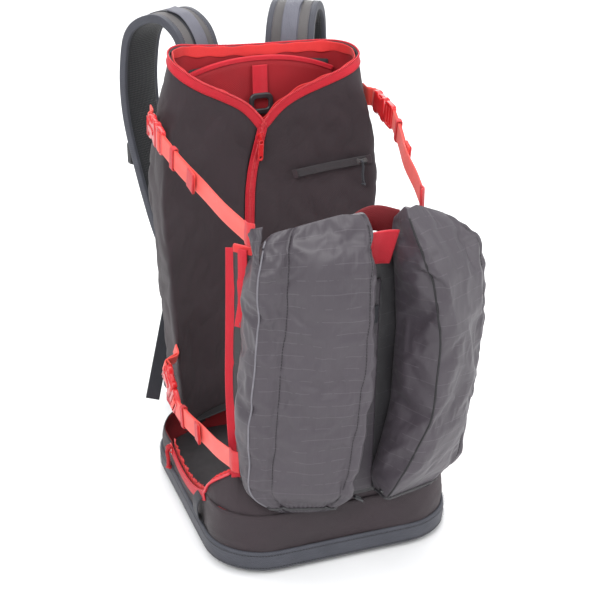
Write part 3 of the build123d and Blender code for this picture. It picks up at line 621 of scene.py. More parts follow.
def puff(piece, pins, pressure, slack, cap, frames=20):
    """Cloth under light pressure, held at its pins.

    Slack is how much longer its threads are than its shape.
    """
    before = np.zeros(len(piece.data.vertices) * 3)
    piece.data.vertices.foreach_get("co", before)
    group = piece.vertex_groups.new(name="pins")
    for index, weight in enumerate(pins):
        if weight > 0:
            group.add([index], float(weight), "REPLACE")
    cloth = piece.modifiers.new("cloth", "CLOTH")
    settings = cloth.settings
    settings.quality = 5
    settings.mass = 0.25
    settings.tension_stiffness = 25
    settings.compression_stiffness = 25
    settings.shear_stiffness = 12
    settings.bending_stiffness = 1.2
    settings.use_pressure = True
    settings.uniform_pressure_force = pressure
    settings.vertex_group_mass = "pins"
    settings.shrink_min = -slack
    settings.effector_weights.gravity = 0
    cloth.collision_settings.use_collision = False
    cloth.point_cache.frame_end = frames
    scene = bpy.context.scene
    for number in range(1, frames + 1):
        scene.frame_set(number)
    graph = bpy.context.evaluated_depsgraph_get()
    after = np.zeros(len(before))
    piece.evaluated_get(graph).data.vertices.foreach_get("co", after)
    piece.modifiers.remove(cloth)
    scene.frame_set(1)
    moved = (after - before).reshape(-1, 3)
    length = np.linalg.norm(moved, axis=1, keepdims=True)
    moved *= np.minimum(1, cap * MM / np.maximum(length, 1e-9))
    piece.data.vertices.foreach_set("co", (before.reshape(-1, 3) + moved).ravel())
    piece.data.update()
    return piece


# ---- stage and light ----
def stage_plane():
    """A pale floor that curves up behind the object."""
    profile = [(-3000, 0), (2200, 0), (2900, 120), (3300, 600), (3400, 1600), (3400, 3200)]
    line = through([(0, y, z) for y, z in profile], 40)
    grid = np.stack([line + np.array([x, 0, -0.4]) for x in (-4200, -1400, 1400, 4200)])
    nodes = Nodes("stage_paper")
    tone = nodes.mix(nodes.noise(nodes.place(), 2.0), rgb(0.86, 0.86, 0.86), rgb(0.90, 0.90, 0.90))
    floor = surface("stage_floor", grid, nodes.finish(tone, 0.9))


def area_light(name, place, target, size, power):
    """A square light that faces its target; place and target are in metres."""
    lamp = bpy.data.lights.new(name, "AREA")
    lamp.size = size
    lamp.energy = power
    light = bpy.data.objects.new(name, lamp)
    light.location = place
    aim = Vector(target) - Vector(place)
    light.rotation_euler = aim.to_track_quat("-Z", "Y").to_euler()
    bpy.context.scene.collection.objects.link(light)


stage_plane()
MIDDLE = (0.0, 0.0, 0.30)
area_light("key_light", (-1.5, -1.9, 2.3), MIDDLE, 1.5, 70)
area_light("fill_light", (2.0, -1.6, 1.5), MIDDLE, 2.0, 34)
area_light("top_light", (0.2, 0.4, 2.6), MIDDLE, 2.0, 40)
area_light("back_light", (0.6, 2.2, 1.6), MIDDLE, 1.6, 26)
world = bpy.data.worlds.new("studio")
world.use_nodes = True
world.node_tree.nodes["Background"].inputs["Color"].default_value = rgb(0.95, 0.97, 1.0)
world.node_tree.nodes["Background"].inputs["Strength"].default_value = 0.75
bpy.context.scene.world = world
bpy.context.scene.view_settings.view_transform = "Standard"

# ---- base: woven binding, floor and board ----
_, base_high = node_box("base_binding")
BASE_HALF_X, BASE_HALF_Y = base_high[0], base_high[1]
BASE_CORNER = 72
BINDING = 4
BINDING_WOBBLE = 0.0015         # share of its size by which the binding leaves its smooth outline
FABRIC = 3


def base_loop(inset, count, z=0.0):
    """The base's rounded outline moved in by inset."""
    width, depth = 2 * (BASE_HALF_X - inset), 2 * (BASE_HALF_Y - inset)
    outline = rounded(width, depth, BASE_CORNER - inset, corners=12)
    points = np.array([(x, y, z) for x, y in outline + outline[:1]])
    return even(points, count, closed=True)


UP, RIGHT, BACK = (0, 0, 1), (1, 0, 0), (0, 1, 0)
binding_path = base_loop(BINDING / 2 + 0.2, 180, base_high[2] / 2)
binding_path[:, :2] *= 1 + BINDING_WOBBLE * np.sin(np.linspace(0, 14 * pi, 180, endpoint=False))[:, None]
binding_band = ribbon(
    "binding_band", binding_path, UP, base_high[2] - 1, BINDING, BINDING_CLOTH, closed=True, crown=0.8
)
keep(binding_band, "pack", "base_binding", slot="binding")
for height in (base_high[2] - 4.5, 4.5):
    row = base_loop(-0.9, 360, height)
    stitches(f"binding_stitches_{int(height)}", row, UP, THREAD_DARK, "pack", "binding", closed=True)

# Plain pieces keep their CAD shape and only get a material.
PLAIN_NODES = {"base_floor": LINER, "base_board": BOARD, "frame_sheet": BOARD, "frame_stays": ALUMINIUM}
for node, material in PLAIN_NODES.items():
    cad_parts[node].data.materials.clear()
    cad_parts[node].data.materials.append(material)

# ---- boot: low wall with a dip on each side, a zip along each dip, frills ----
BOOT_TOP_FRONT, BOOT_TOP_BACK, BOOT_LOW = 76, 56, 47
DIP_FRONT, DIP_BACK = -92, 70
TAPE_WIDTH = 13
BOOT_INSET = BINDING + 0.3


def boot_top(y):
    """Height of the boot's edge: level at the front and back, an arc along each side."""
    if y <= DIP_FRONT:
        return BOOT_TOP_FRONT
    if y >= DIP_BACK:
        return BOOT_TOP_BACK
    share = (y - DIP_FRONT) / (DIP_BACK - DIP_FRONT)
    chord = BOOT_TOP_FRONT + (BOOT_TOP_BACK - BOOT_TOP_FRONT) * share
    return chord - (66 - BOOT_LOW) * 4 * share * (1 - share)


def boot_grid(inset, count=200, rows=16, drop=0.0):
    """The boot wall's cloth, bulging a little halfway up."""
    loop = base_loop(BOOT_INSET + inset, count)
    tops = np.array([boot_top(y) - drop for y in loop[:, 1]])
    grid = []
    for share in np.linspace(0, 1, rows):
        z = 6 + (tops - 6) * share
        bulge = 1 + 0.012 * sin(pi * share)
        grid.append(np.stack([loop[:, 0] * bulge, loop[:, 1] * bulge, z], axis=1))
    return np.array(grid)


boot_outer = folds(boot_grid(0.5, drop=2), -2.8, (60, 60, 30), 3)
boot = surface("boot_wall_cloth", boot_outer, SHELL, wrap=True)
keep(thicken(boot, 1.6), "pack", "boot_wall", slot="shell_fabric")
boot_inner = surface("boot_lining", boot_grid(2.8, drop=3), LINING, wrap=True, flip=True)
keep(thicken(boot_inner, 0.6, 1.0), "pack", slot="lining")


def zip_line(name, path, side, body, tape=TAPE, teeth=TEETH, width=TAPE_WIDTH, edge=0.0,
             slot="zip_tape", nodes=(), lift=0.0):
    """A zip along a path: its tape and its coil; edge moves the coil across the tape, to one border."""
    path = np.asarray(path, float)
    band(body, slot, nodes, f"{name}_tape", path, side, width, 1.1, tape, lift=lift)
    _, across, _ = path_frame(path, side)
    shape = EDGE_TOOTH if edge else TOOTH
    coil = repeat(f"{name}_coil", path + across * edge, across, TOOTH_PITCH, *shape, teeth, lift=lift + 0.45)
    keep(coil, body, slot=slot)
    for place in (-width / 2 + 1.6, width / 2 - 1.6):
        if abs(place - edge) > 2.5:
            border = "a" if place < 0 else "b"
            colour = THREAD_RED if tape is TAPE else THREAD_DARK
            thread = repeat(f"{name}_thread_{border}", path + across * place, across, STITCH_PITCH, *STITCH,
                            colour, lift=lift + 0.5)
            keep(thread, body, slot=slot)


SIDE_WALL_X = BASE_HALF_X - BOOT_INSET
for side, sign in SIDES.items():
    ys = np.linspace(DIP_FRONT + 1, DIP_BACK - 1, 60)
    dip = np.array([(sign * (SIDE_WALL_X + 0.6), y, boot_top(y) - TAPE_WIDTH / 2 + 1) for y in ys])
    if sign > 0:
        dip = dip[::-1]
    down = (0, 0, -1)
    zip_line(f"boot_zip_{side}", dip[::-1], down, "pack", edge=-TAPE_WIDTH / 2 + 1.2,
             nodes=("side_zips",) if sign < 0 else ())
    wave = np.arange(len(ys))
    frill_path = np.array([(sign * (SIDE_WALL_X - 5 + 1.3 * sin(k * 1.7)), y,
                            boot_top(y) + 1.5 * sin(k * 0.9) - 1) for k, y in zip(wave, ys)])
    frill = ribbon(f"boot_frill_{side}", frill_path, UP, 11 + 1.2 * np.sin(wave * 2.3), 1.2, FRILL)
    keep(frill, "pack", slot="zip_tape")

# ---- bag: one sewn shell from centre zip to centre zip, its lining and its mouth ----
BAG_LEVELS = [
    (61.3, 127, 145, -20),
    (230, 135, 145, -18),
    (380, 145, 140, -14),
    (459, 139, 125, 0),
    (545, 116, 113, 0),
]
BAG_BACK = 168
FRONT_EDGE = 87
HALF_TAPE = TAPE_WIDTH / 2


def bag_level(z):
    """Half width, centre depth and centre zip position of the bag at a height."""
    heights = [level[0] for level in BAG_LEVELS]
    return [np.interp(z, heights, [level[k] for level in BAG_LEVELS]) for k in (1, 2, 3)]


def bag_front_y(x, z):
    """Depth of the bag's bowed front."""
    half, centre, _ = bag_level(z)
    rise = centre - FRONT_EDGE
    radius = (half**2 + rise**2) / (2 * rise)
    return centre - radius + sqrt(max(radius**2 - x**2, 0))


# The mouth's rim from the point of its V, round the left corner, along the back and to the right.
RIM = [
    (0, 124, 458), (-13, 122, 476), (-30, 117, 492), (-56, 109, 508), (-86, 101, 525), (-108, 98, 541),
    (-120, 108, 553), (-117, 130, 559), (-98, 153, 558), (-74, 165, 553), (-35, 167.5, 549),
    (10, 168, 547), (55, 168, 546), (90, 167, 545), (112, 160, 544), (122, 142, 543),
    (123, 120, 541), (116, 103, 537), (98, 98, 528), (72, 105, 515), (45, 113, 502),
    (26, 118, 490), (12, 122, 476), (0, 124, 458),
]
RIM_COUNT = 220
rim = through(RIM, RIM_COUNT)


def bag_outline(z):
    """The bag's section at a height, from the centre zip round by the left to the centre zip again."""
    half, _, zip_x = bag_level(z)
    front_left = [(x, bag_front_y(x, z)) for x in np.linspace(zip_x, -half + 3, 40)]
    left = [(-half - 1, y) for y in np.linspace(FRONT_EDGE + 8, BAG_BACK - 12, 12)]
    back = [(x, BAG_BACK) for x in np.linspace(-half + 10, half - 10, 50)]
    right = [(half + 1, y) for y in np.linspace(BAG_BACK - 12, FRONT_EDGE + 8, 12)]
    front_right = [(x, bag_front_y(x, z)) for x in np.linspace(half - 3, zip_x, 40)]
    return np.array([(x, y, z) for x, y in front_left + left + back + right + front_right])


BAG_ROWS = 96
BAG_BOTTOM = 61.3
base_heights = np.linspace(BAG_BOTTOM, 459, 80)
sections = np.array([even(bag_outline(z), RIM_COUNT) for z in base_heights])
# Above the last full section each column runs on smoothly to its own place on the rim.
bag_grid = np.zeros((BAG_ROWS, RIM_COUNT, 3))
for column in range(RIM_COUNT):
    top = rim[column]
    limit = min(430.0, top[2] - 22)
    below = sections[base_heights <= limit][:, column]
    lean = below[-1] + (below[-1] - below[-4]) * 1.6
    line = np.concatenate([below[:-1:6], below[-1:],
                           [lean * 0.5 + (below[-1] + (top - below[-1]) * 0.5) * 0.5], [top]])
    bag_grid[:, column] = through(line, BAG_ROWS)
bag_grid = soften(soften(bag_grid, 1, 3), 0, 2)
rows_share = np.linspace(0, 1, BAG_ROWS)[:, None, None]
calm = np.minimum(1, (1 - rows_share) * 9) * np.minimum(1, rows_share * 12)
middle_share = np.abs(np.linspace(-1, 1, RIM_COUNT))[None, :, None]
calm = calm * np.clip((1 - middle_share) * 18, 0, 1)
bag_normals = normals_of(bag_grid)
creased = folds(bag_grid, 5.0, (46, 60, 70), 11, bag_normals)
creased = folds(creased, 1.3, (16, 22, 26), 23, bag_normals)
bag_grid = bag_grid + (creased - bag_grid) * calm
bag_normals = normals_of(bag_grid)
bag_side = 1 if bag_normals[40, 25, 1] < 0 else -1
bag_out = bag_normals * bag_side

# The shell stops short of the centre zip on both sides.
zip_gap = int(RIM_COUNT * HALF_TAPE / np.linalg.norm(np.diff(bag_grid[0], axis=0), axis=1).sum())
shell = surface("bag_shell", bag_grid[:, zip_gap:RIM_COUNT - zip_gap], SHELL, flip=bag_side < 0)
keep(thicken(shell, 1.2), "pack", "bag_front_left", "bag_front_right", "bag_sides", "bag_back",
     slot="shell_fabric")
inner_grid = (bag_grid - bag_out * 2.2)[:-1, zip_gap:RIM_COUNT - zip_gap]
bag_lining = surface("bag_lining", inner_grid, LINING, flip=bag_side > 0)
keep(thicken(bag_lining, 0.5, 1.0), "pack", slot="lining")
floor_ring = bag_grid[0] - bag_out[0] * 1.5
floor_middle = floor_ring.mean(axis=0)
bag_floor_grid = np.array([floor_middle + (floor_ring - floor_middle) * share
                           for share in (1, 0.8, 0.5, 0.2, 0.02)])
bag_floor = surface("bag_floor_cloth", bag_floor_grid - np.array([0, 0, 0.5]), LINER)
keep(thicken(bag_floor, 2.0, 0.0), "pack", "bag_floor", slot="lining")

# Mouth: the tape follows the rim on the outside, coil along its upper edge; a frilled facing inside.
tape_rows = bag_grid + bag_out


def down_from_rim(column, distance):
    """The point of a column that is some way below the rim."""
    line = tape_rows[::-1, column]
    run = np.concatenate([[0], np.cumsum(np.linalg.norm(np.diff(line, axis=0), axis=1))])
    return np.array([np.interp(distance, run, line[:, axis]) for axis in range(3)])


mouth_path = np.array([down_from_rim(column, HALF_TAPE - 1.5) for column in range(RIM_COUNT)])
mouth_down = unit(np.array([down_from_rim(c, HALF_TAPE + 3) - down_from_rim(c, 1)
                            for c in range(RIM_COUNT)]))
mouth_side = mouth_down
_, _, mouth_out = path_frame(mouth_path, mouth_side)
if np.sum(mouth_out[30] * bag_out[-3, 30]) < 0:
    mouth_path, mouth_side = mouth_path[::-1], mouth_side[::-1]
zip_line("mouth_zip", mouth_path, mouth_side, "pack", edge=-HALF_TAPE + 1.4, nodes=("mouth_zip",), lift=0.3)
inner_path = np.array([down_from_rim(column, 6) - bag_out[-2, column] * 4.6 for column in range(RIM_COUNT)])
ripple = np.sin(np.arange(RIM_COUNT) * 0.55) + 0.6 * np.sin(np.arange(RIM_COUNT) * 0.23 + 1)
inner_path += bag_out[-2] * (-0.7 * ripple[:, None])
facing = ribbon("mouth_facing", inner_path, mouth_down, 13 + 1.3 * ripple, 1.2, FRILL)
keep(facing, "pack", slot="lining")

# Centre zip down the front.
zip_column = bag_grid[:, :2].mean(axis=1) * 0.5 + bag_grid[:, -2:].mean(axis=1) * 0.5
zip_path = even(zip_column + bag_out[:, 0] * 1.2, 120)[::-1]
zip_line("front_zip", zip_path, RIGHT, "pack", nodes=("front_zip",))


# ---- inside the bag: padded divider, hanger webbing and hook ----
divider_low, divider_high = node_box("inner_divider")


def divider_grid(y, shrink=0.0):
    """The divider's sheet, lowest at its sides, a little bowed."""
    half = divider_high[0] - shrink
    grid = []
    for share in np.linspace(0, 1, 40):
        row = []
        for place in np.linspace(-1, 1, 60):
            top = divider_high[2] + 10 - 22 * abs(place) ** 2.2
            z = divider_low[2] + (top - divider_low[2] - shrink) * share
            row.append((place * half, y + 1.5 * (1 - place**2) * sin(pi * share * 0.9), z))
        grid.append(row)
    return np.array(grid)


divider = surface("divider_pad", folds(divider_grid(divider_low[1] + 0.4), 1.2, (40, 40, 60), 41), LINING)
keep(thicken(divider, 3.4), "pack", "inner_divider", slot="lining", fill=0.5)
divider_edge = divider_grid(divider_low[1])[-1] + np.array([0, 1.5, -1])
binding_strip = ribbon("divider_binding", through(divider_edge, 90), UP, 6, 5.4, TAPE)
keep(binding_strip, "pack", slot="lining")

back_half = divider_high[0] - 3
liner_rows = []
for z_share in np.linspace(0, 1, 30):
    liner_rows.append([(place * back_half, 160.4, 330 + (198 - 6 * abs(place) ** 3) * z_share)
                       for place in np.linspace(-1, 1, 60)])
back_liner = surface("back_liner", folds(np.array(liner_rows), -1.0, (40, 40, 50), 43), LINER)
keep(thicken(back_liner, 0.8), "pack", slot="lining")

hanger_low, hanger_high = node_box("hanger_webbing")
HANGER_X = (hanger_low[0] + hanger_high[0]) / 2
hanger_front = divider_low[1] - 2.6
hanger_path = through([(HANGER_X, hanger_front, hanger_high[2] + 14), (HANGER_X, hanger_front - 0.6, 500),
                       (HANGER_X, hanger_front - 1.4, 490), (HANGER_X, hanger_front - 3.6, 483)], 30)
band("pack", "red_webbing", ("hanger_webbing",), "hanger_band", hanger_path, RIGHT, 20, 1.6, TAPE)
HANGER_RISE = 9
hook_low, hook_high = node_box("hanger_hook")
hook_middle = (hook_low + hook_high) / 2
hook_size = hook_high - hook_low
hook = plate("hanger_ring", [rounded(hook_size[0] + 6, hook_size[2] + 6, 9), rounded(19, 13, 4)],
             hook_middle + np.array([0, -0.4, HANGER_RISE]), RIGHT, (0, -1, 0), hook_size[1], 1.7, PLASTIC)
keep(hook, "pack", "hanger_hook", slot="black_plastic")

# ---- pocket zip on the right, its slider and cord ----
POCKET_IN, POCKET_OUT = np.array([44, 129.4, 384.0]), np.array([131, 92.2, 406.0])
pocket_run = unit(POCKET_OUT - POCKET_IN)
pocket_out = unit(np.cross(pocket_run, UP))
pocket_across = np.cross(pocket_out, pocket_run)
pocket_line = through([POCKET_IN, (POCKET_IN + POCKET_OUT) / 2 - pocket_out * 2, POCKET_OUT], 60)
pocket_path = pocket_line + pocket_out * 0.6
zip_line("pocket_zip", pocket_path, -pocket_across, "pack", DARK_TAPE, DARK_TEETH, 11, slot="pocket_zip",
         nodes=("pocket_zip",))
for name, at in (("inner", POCKET_IN), ("outer", POCKET_OUT)):
    end = plate(f"pocket_end_{name}", [rounded(7, 12, 2)], at + pocket_out * 1.9, pocket_run, pocket_out,
                1.6, 0.6, SHELL)
    keep(end, "pack", slot="shell_fabric")


def slider(name, origin, x_dir, z_dir, width, length, body, nodes, material=METAL):
    """A zip slider: its waisted body with a bridge over it; length runs along Y of its plane."""
    waist = [(width / 2, length * 0.5), (width * 0.28, length * 0.08), (width * 0.36, -length * 0.5)]
    outline = waist + [(-x, y) for x, y in reversed(waist)]
    outer = list(through([(x, y, 0) for x, y in outline], 40, closed=True)[:, :2])
    origin, z_dir = np.asarray(origin, float), unit(z_dir)
    parts = [plate(f"{name}_top", [outer], origin + z_dir * 0.9, x_dir, z_dir, 1.3, 0.5, material)]
    bridge_y = unit(np.cross(z_dir, x_dir))
    arch = [origin + bridge_y * y + z_dir * (1.3 + h) for y, h in
            ((-length * 0.34, 0), (-length * 0.3, 1.6), (0, 2.2), (length * 0.3, 1.6), (length * 0.34, 0))]
    parts.append(ribbon(f"{name}_bridge", through(arch, 24), x_dir, 2.4, 1.0, material))
    return keep(join(f"{name}_slider", parts), body, *nodes, slot="slider_metal")


def twisted_cord(name, path, radius, material, body, nodes=(), slot="pull_cord", turn=0.9):
    """A cord of two twisted strands with a knot at each end."""
    path = np.asarray(path, float)
    _, side, out = path_frame(path, (0.7, 0.2, 0.1))
    angle = np.arange(len(path)) * turn
    parts = []
    for phase in (0, pi):
        offset = side * np.cos(angle + phase)[:, None] + out * np.sin(angle + phase)[:, None]
        parts.append(tube(f"{name}_strand_{int(phase)}", path + offset * radius * 0.55, radius * 0.62,
                          material))
    for end in (path[0], path[-1]):
        ring = [end + radius * 1.1 * np.array([cos(t), sin(t), 0.35 * sin(2 * t)]) for t in
                np.linspace(0, 4.4 * pi, 26)]
        parts.append(tube(f"{name}_knot_{len(parts)}", np.array(ring), radius * 0.7, material))
    return keep(join(f"{name}_cord", parts), body, *nodes, slot=slot)


pocket_at = POCKET_OUT - pocket_run * 9 + pocket_out * 2.2
slider("pocket", pocket_at, pocket_across, pocket_out, 8, 12, "pocket_slider", ("pocket_slider",))
cord_start = pocket_at + pocket_out * 3.2
cord_points = [cord_start, cord_start + np.array([1, -2, -7]), cord_start + np.array([0, -3, -18]),
               cord_start + np.array([2, -2, -30])]
twisted_cord("pocket_pull", through(cord_points, 40), 1.7, DARK_WEB, "pocket_slider", slot="slider_metal")

# ---- centre zip's slider and pull ----
MOUTH_POINT = np.array([0, 125, 459.0])
zip_run = unit(np.array([-14, 15, -79.0]))
zip_out = unit(np.cross(zip_run, RIGHT))
slider_at = MOUTH_POINT + zip_run * 22 + zip_out * 0.8
slider("front_zip", slider_at, RIGHT, zip_out, 10, 14, "front_zip_slider", ("front_zip_slider",), BUCKLE)
pull_outline = [rounded(7.4, 30, 3.2, (0, -15)), rounded(3.2, 3.6, 1.5, (0, -25)),
                rounded(3.4, 4, 1.6, (0, -3.6))]
front_pull = plate("front_zip_tab", pull_outline, slider_at + zip_out * 5.6, RIGHT, zip_out, 2.4, 0.9,
                   BUCKLE)
keep(front_pull, "front_zip_pull", "front_zip_pull", slot="pull_cord")

# ---- front panel: bowed sheet, lining, edge zips, channel and pull ----
PANEL_BOTTOM, PANEL_TOP, PANEL_ZIP_FOOT = 84, 396, 112
PANEL_ARC_LOW, PANEL_ARC_HIGH = (6, 52.4, 220.4, 141), (12, -12, 157, 130)
CHANNEL, PULL_SHARE = 0.55, 0.075    # shares of the panel's width
PULL_ACROSS = (1, -0.75, 0)


def panel_arc(z):
    """The arc of the front panel at a height: centre x and y, radius, half its chord."""
    share = min(max((z - PANEL_BOTTOM) / (PANEL_TOP - PANEL_BOTTOM), 0), 1)
    return [low + (high - low) * share for low, high in zip(PANEL_ARC_LOW, PANEL_ARC_HIGH)]


def panel_point(z, share, depth):
    """A point of the front panel at a share of its width, some depth in front of its inner face."""
    centre_x, centre_y, radius, half_chord = panel_arc(z)
    turn = asin(half_chord / radius) * (2 * share - 1)
    return np.array([centre_x + (radius + depth) * sin(turn), centre_y - (radius + depth) * cos(turn), z])


def panel_line(share, depth, low, high, count):
    """An upright line on the front panel."""
    return np.array([panel_point(z, share, depth) for z in np.linspace(low, high, count)])


def panel_taper(z):
    """How far the panel's edges are drawn in near its foot, as a share of its width."""
    return 0.045 * np.clip((250 - z) / 166, 0, 1) ** 1.6


def panel_grid(start, end, low, high, depth, columns=60, rows=50):
    """A sheet along the panel; its edges draw in towards the foot."""
    grid = []
    for z in np.linspace(low, high, rows):
        taper = panel_taper(z) if end - start > 0.5 else 0
        shares = np.linspace(start + taper, end - taper, columns)
        grid.append([panel_point(z, share, depth) for share in shares])
    return np.array(grid)


panel_sheet = folds(panel_grid(0.03, 0.97, PANEL_BOTTOM, PANEL_TOP, FABRIC - 0.4, 90, 60), -1.2,
                    (30, 30, 60), 5)
panel_cloth = surface("panel_cloth", panel_sheet, RIPSTOP_DARK)
keep(thicken(panel_cloth, 1.8), "front_panel", "front_panel", slot="ripstop")
lining_sheet = folds(panel_grid(0.02, 0.98, PANEL_BOTTOM + 4, PANEL_TOP + 1, -0.5, 90, 50), 1.2,
                     (40, 40, 50), 6)
panel_lining = surface("panel_lining_cloth", lining_sheet, LINING, flip=True)
keep(thicken(panel_lining, 1.0), "front_panel", "panel_lining", slot="lining")
top_facing = [panel_point(PANEL_TOP, share, 1.2) for share in np.linspace(0.03, 0.97, 90)]
band("front_panel", "lining", (), "panel_top_binding", np.array(top_facing), UP, 10, 4.4, FRILL)

for side, share in (("left", 0.022), ("right", 0.978)):
    line = np.array([panel_point(z, share + (panel_taper(z) if side == "left" else -panel_taper(z)), FABRIC)
                     for z in np.linspace(PANEL_ZIP_FOOT, PANEL_TOP, 90)])
    outwards = np.array([panel_point(z, 0.0 if side == "left" else 1.0, FABRIC) - panel_point(z, 0.5, FABRIC)
                         for z in np.linspace(PANEL_ZIP_FOOT, PANEL_TOP, 90)])
    if side == "left":
        zip_line("panel_zip_left", line, -outwards, "front_panel", edge=-HALF_TAPE + 1.4,
                 nodes=("panel_zips",))
    else:
        zip_line("panel_zip_right", line, outwards, "front_panel", edge=HALF_TAPE - 1.4)

# Fabric that joins the boot to the panel; at both sides it rises to the panel's zip.
RISE_TOP = 116


def blend_hem(piece):
    """Bakes the transform of a soft piece that lies between the boot below and the front panel above."""
    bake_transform(piece)


HEM_INSET = 2.4                 # from the boot's outside to the line where the hem starts
wall_x = SIDE_WALL_X - HEM_INSET
wall_y = BASE_HALF_Y - BOOT_INSET - HEM_INSET
wall_corner = BASE_CORNER - BOOT_INSET - HEM_INSET
corner_x, corner_y = wall_x - wall_corner, wall_y - wall_corner
hem_foot = [(-wall_x, DIP_FRONT)]
hem_foot += [(-corner_x - wall_corner * cos(t), -corner_y - wall_corner * sin(t))
             for t in np.linspace(0.12, pi / 2, 9)]
hem_foot = np.array([(x, y, BOOT_TOP_FRONT - 8) for x, y in hem_foot])
hem_foot = np.concatenate([hem_foot, hem_foot[::-1] * np.array([-1, 1, 1])])
hem_foot = even(hem_foot, 120)
left_edge, right_edge = (panel_point(RISE_TOP, share, 0.8) for share in (0.03, 0.97))
rise_left = np.array([(-wall_x - 1.2, DIP_FRONT, BOOT_TOP_FRONT), (-wall_x + 4, -101, 94), left_edge])
rise_right = np.array([right_edge, (wall_x - 4, -101, 94), (wall_x + 1.2, DIP_FRONT, BOOT_TOP_FRONT)])
hem_middle = [panel_point(z, share, 0.8) for z, share in
              ((108, 0.08), (94, 0.17), (90, 0.3), (90, 0.5), (90, 0.7), (94, 0.83), (108, 0.92))]
hem_head = even(through(np.concatenate([rise_left, hem_middle, rise_right]), 400), 120)
hem_rows = []
for share in np.linspace(0, 1, 18):
    row = hem_foot + (hem_head - hem_foot) * share
    row[:, :2] = hem_foot[:, :2] + (hem_head - hem_foot)[:, :2] * share**1.6
    hem_rows.append(row)
hem_grid = folds(np.array(hem_rows), 1.6, (26, 26, 30), 8)
blend_hem(thicken(surface("fold_hem", hem_grid, SHELL), 1.4))
for side, line in (("left", rise_left), ("right", rise_right[::-1])):
    rise = through(line, 40)
    outwards = (-1 if side == "left" else 1, -0.5, -0.3)
    blend_hem(ribbon(f"rise_tape_{side}", rise, outwards, 9, 2.6, TAPE))
    cord = rise + unit(outwards) * 3.4 + np.array([0, 0, 0.8])
    blend_hem(tube(f"rise_cord_{side}", cord, 1.5, TEETH))
    inner = rise - unit(outwards) * 5 + np.array([0, 0.5, 1])
    inner[:, 2] += 1.4 * np.sin(np.arange(40) * 1.3)
    blend_hem(ribbon(f"rise_frill_{side}", inner, outwards, 7, 1.4, FRILL))

channel = surface("channel_cloth", panel_grid(0.505, 0.585, PANEL_BOTTOM + 6, PANEL_TOP - 34, FABRIC + 1.6,
                                              14, 50), RIPSTOP)
keep(thicken(channel, 1.0), "front_panel", "channel_panel", slot="ripstop")
garage = panel_line(CHANNEL, FABRIC + 4.4, PANEL_TOP - 86, PANEL_TOP - 64, 20)
band("front_panel", "ripstop", (), "channel_tab", garage, RIGHT, 15, 1.6, DARK_WEB)
red_block = panel_line(CHANNEL, FABRIC + 3.0, PANEL_TOP - 14, PANEL_TOP + 34, 30)
red_block[:, 1] -= np.linspace(2, 26, 30)
band("front_panel", "lining", (), "channel_facing", red_block, RIGHT, 36, 2.0, TAPE, crown=2.0)
# The hood's lining is the darker copy of the lining: painted shade inside the hood.
hood_line = through([panel_point(PANEL_TOP, 0.44, -8) + np.array([0, 0, 2]),
                     panel_point(PANEL_TOP, 0.50, -12) + np.array([0, 0, 24]),
                     panel_point(PANEL_TOP, 0.57, -10) + np.array([0, 0, 34]),
                     panel_point(PANEL_TOP, 0.66, -3) + np.array([0, 0, 26])], 50)
band("front_panel", "lining", (), "channel_hood", hood_line, UP, 30, 2.0, LINING_SHADED, crown=2.0)

pull_points = [panel_point(z, PULL_SHARE, FABRIC + depth) for z,
               depth in ((PANEL_TOP + 2, 3), (PANEL_TOP - 30, 3.4), (PANEL_TOP - 36, 5.5),
                         (PANEL_TOP - 60, 4.2), (PANEL_TOP - 88, 5))]
pull_points[-1] += np.array([-4, 0, 0])
pull_path = through(pull_points, 60)
band("front_panel", "pull_cord", ("panel_zip_pull",), "panel_pull_band", pull_path, PULL_ACROSS, 11, 2.4,
     TAPE)
stitches("panel_pull_hem", pull_path[-5:-1] + np.array([0, -1.6, 0]), PULL_ACROSS, THREAD_PALE,
         "front_panel", "pull_cord")
small_tab = panel_line(PULL_SHARE, FABRIC + 2.6, PANEL_BOTTOM + 74, PANEL_BOTTOM + 92, 16)
band("front_panel", "pull_cord", (), "panel_small_tab", small_tab, PULL_ACROSS, 9, 2.2, TAPE)

# ---- pods: padded ripstop pockets, puffed by cloth simulation between their seams ----
POD_TOP = 453
POD_GAP = FABRIC + 1.0
POD_LEVELS = {
    "pod_left": {
        84: (-98, (-94, -172), (-22, -194), 2),
        112: (-116, (-121, -176), (-10, -220), 9),
        200: (-117, (-124, -184), (0, -226), 12),
        300: (-110, (-114, -181), (7, -227), 15),
        400: (-104, (-106, -177), (8, -224), 12),
        POD_TOP: (-94, (-97, -166), (12, -204), 13),
    },
    "pod_right": {
        84: (18, (38, -196), (112, -180), 116),
        112: (15, (40, -220), (144, -180), 140),
        200: (22, (80, -229), (160, -184), 151),
        300: (29, (85, -232), (171, -180), 152),
        400: (37, (64, -229), (163, -172), 147),
        POD_TOP: (46, (50, -204), (122, -160), 116),
    },
}
POD_ROWS = 84
TOP_SLOPE_FROM, TOP_DROP = 330, 50
SIDE_A, FACE, SIDE_B, POD_BACK = 18, 52, 18, 26


def panel_hit(start, end, z):
    """Where a side of a pod leaves the front panel."""
    centre_x, centre_y, radius, _ = panel_arc(z)
    start, end = np.array(start, float), np.array(end, float)
    reach = radius + POD_GAP
    low, high = 0.0, 1.0
    for _ in range(30):
        middle = (low + high) / 2
        point = start + (end - start) * middle
        inside = np.hypot(point[0] - centre_x, point[1] - centre_y) < reach
        low, high = (middle, high) if inside else (low, middle)
    return start + (end - start) * high


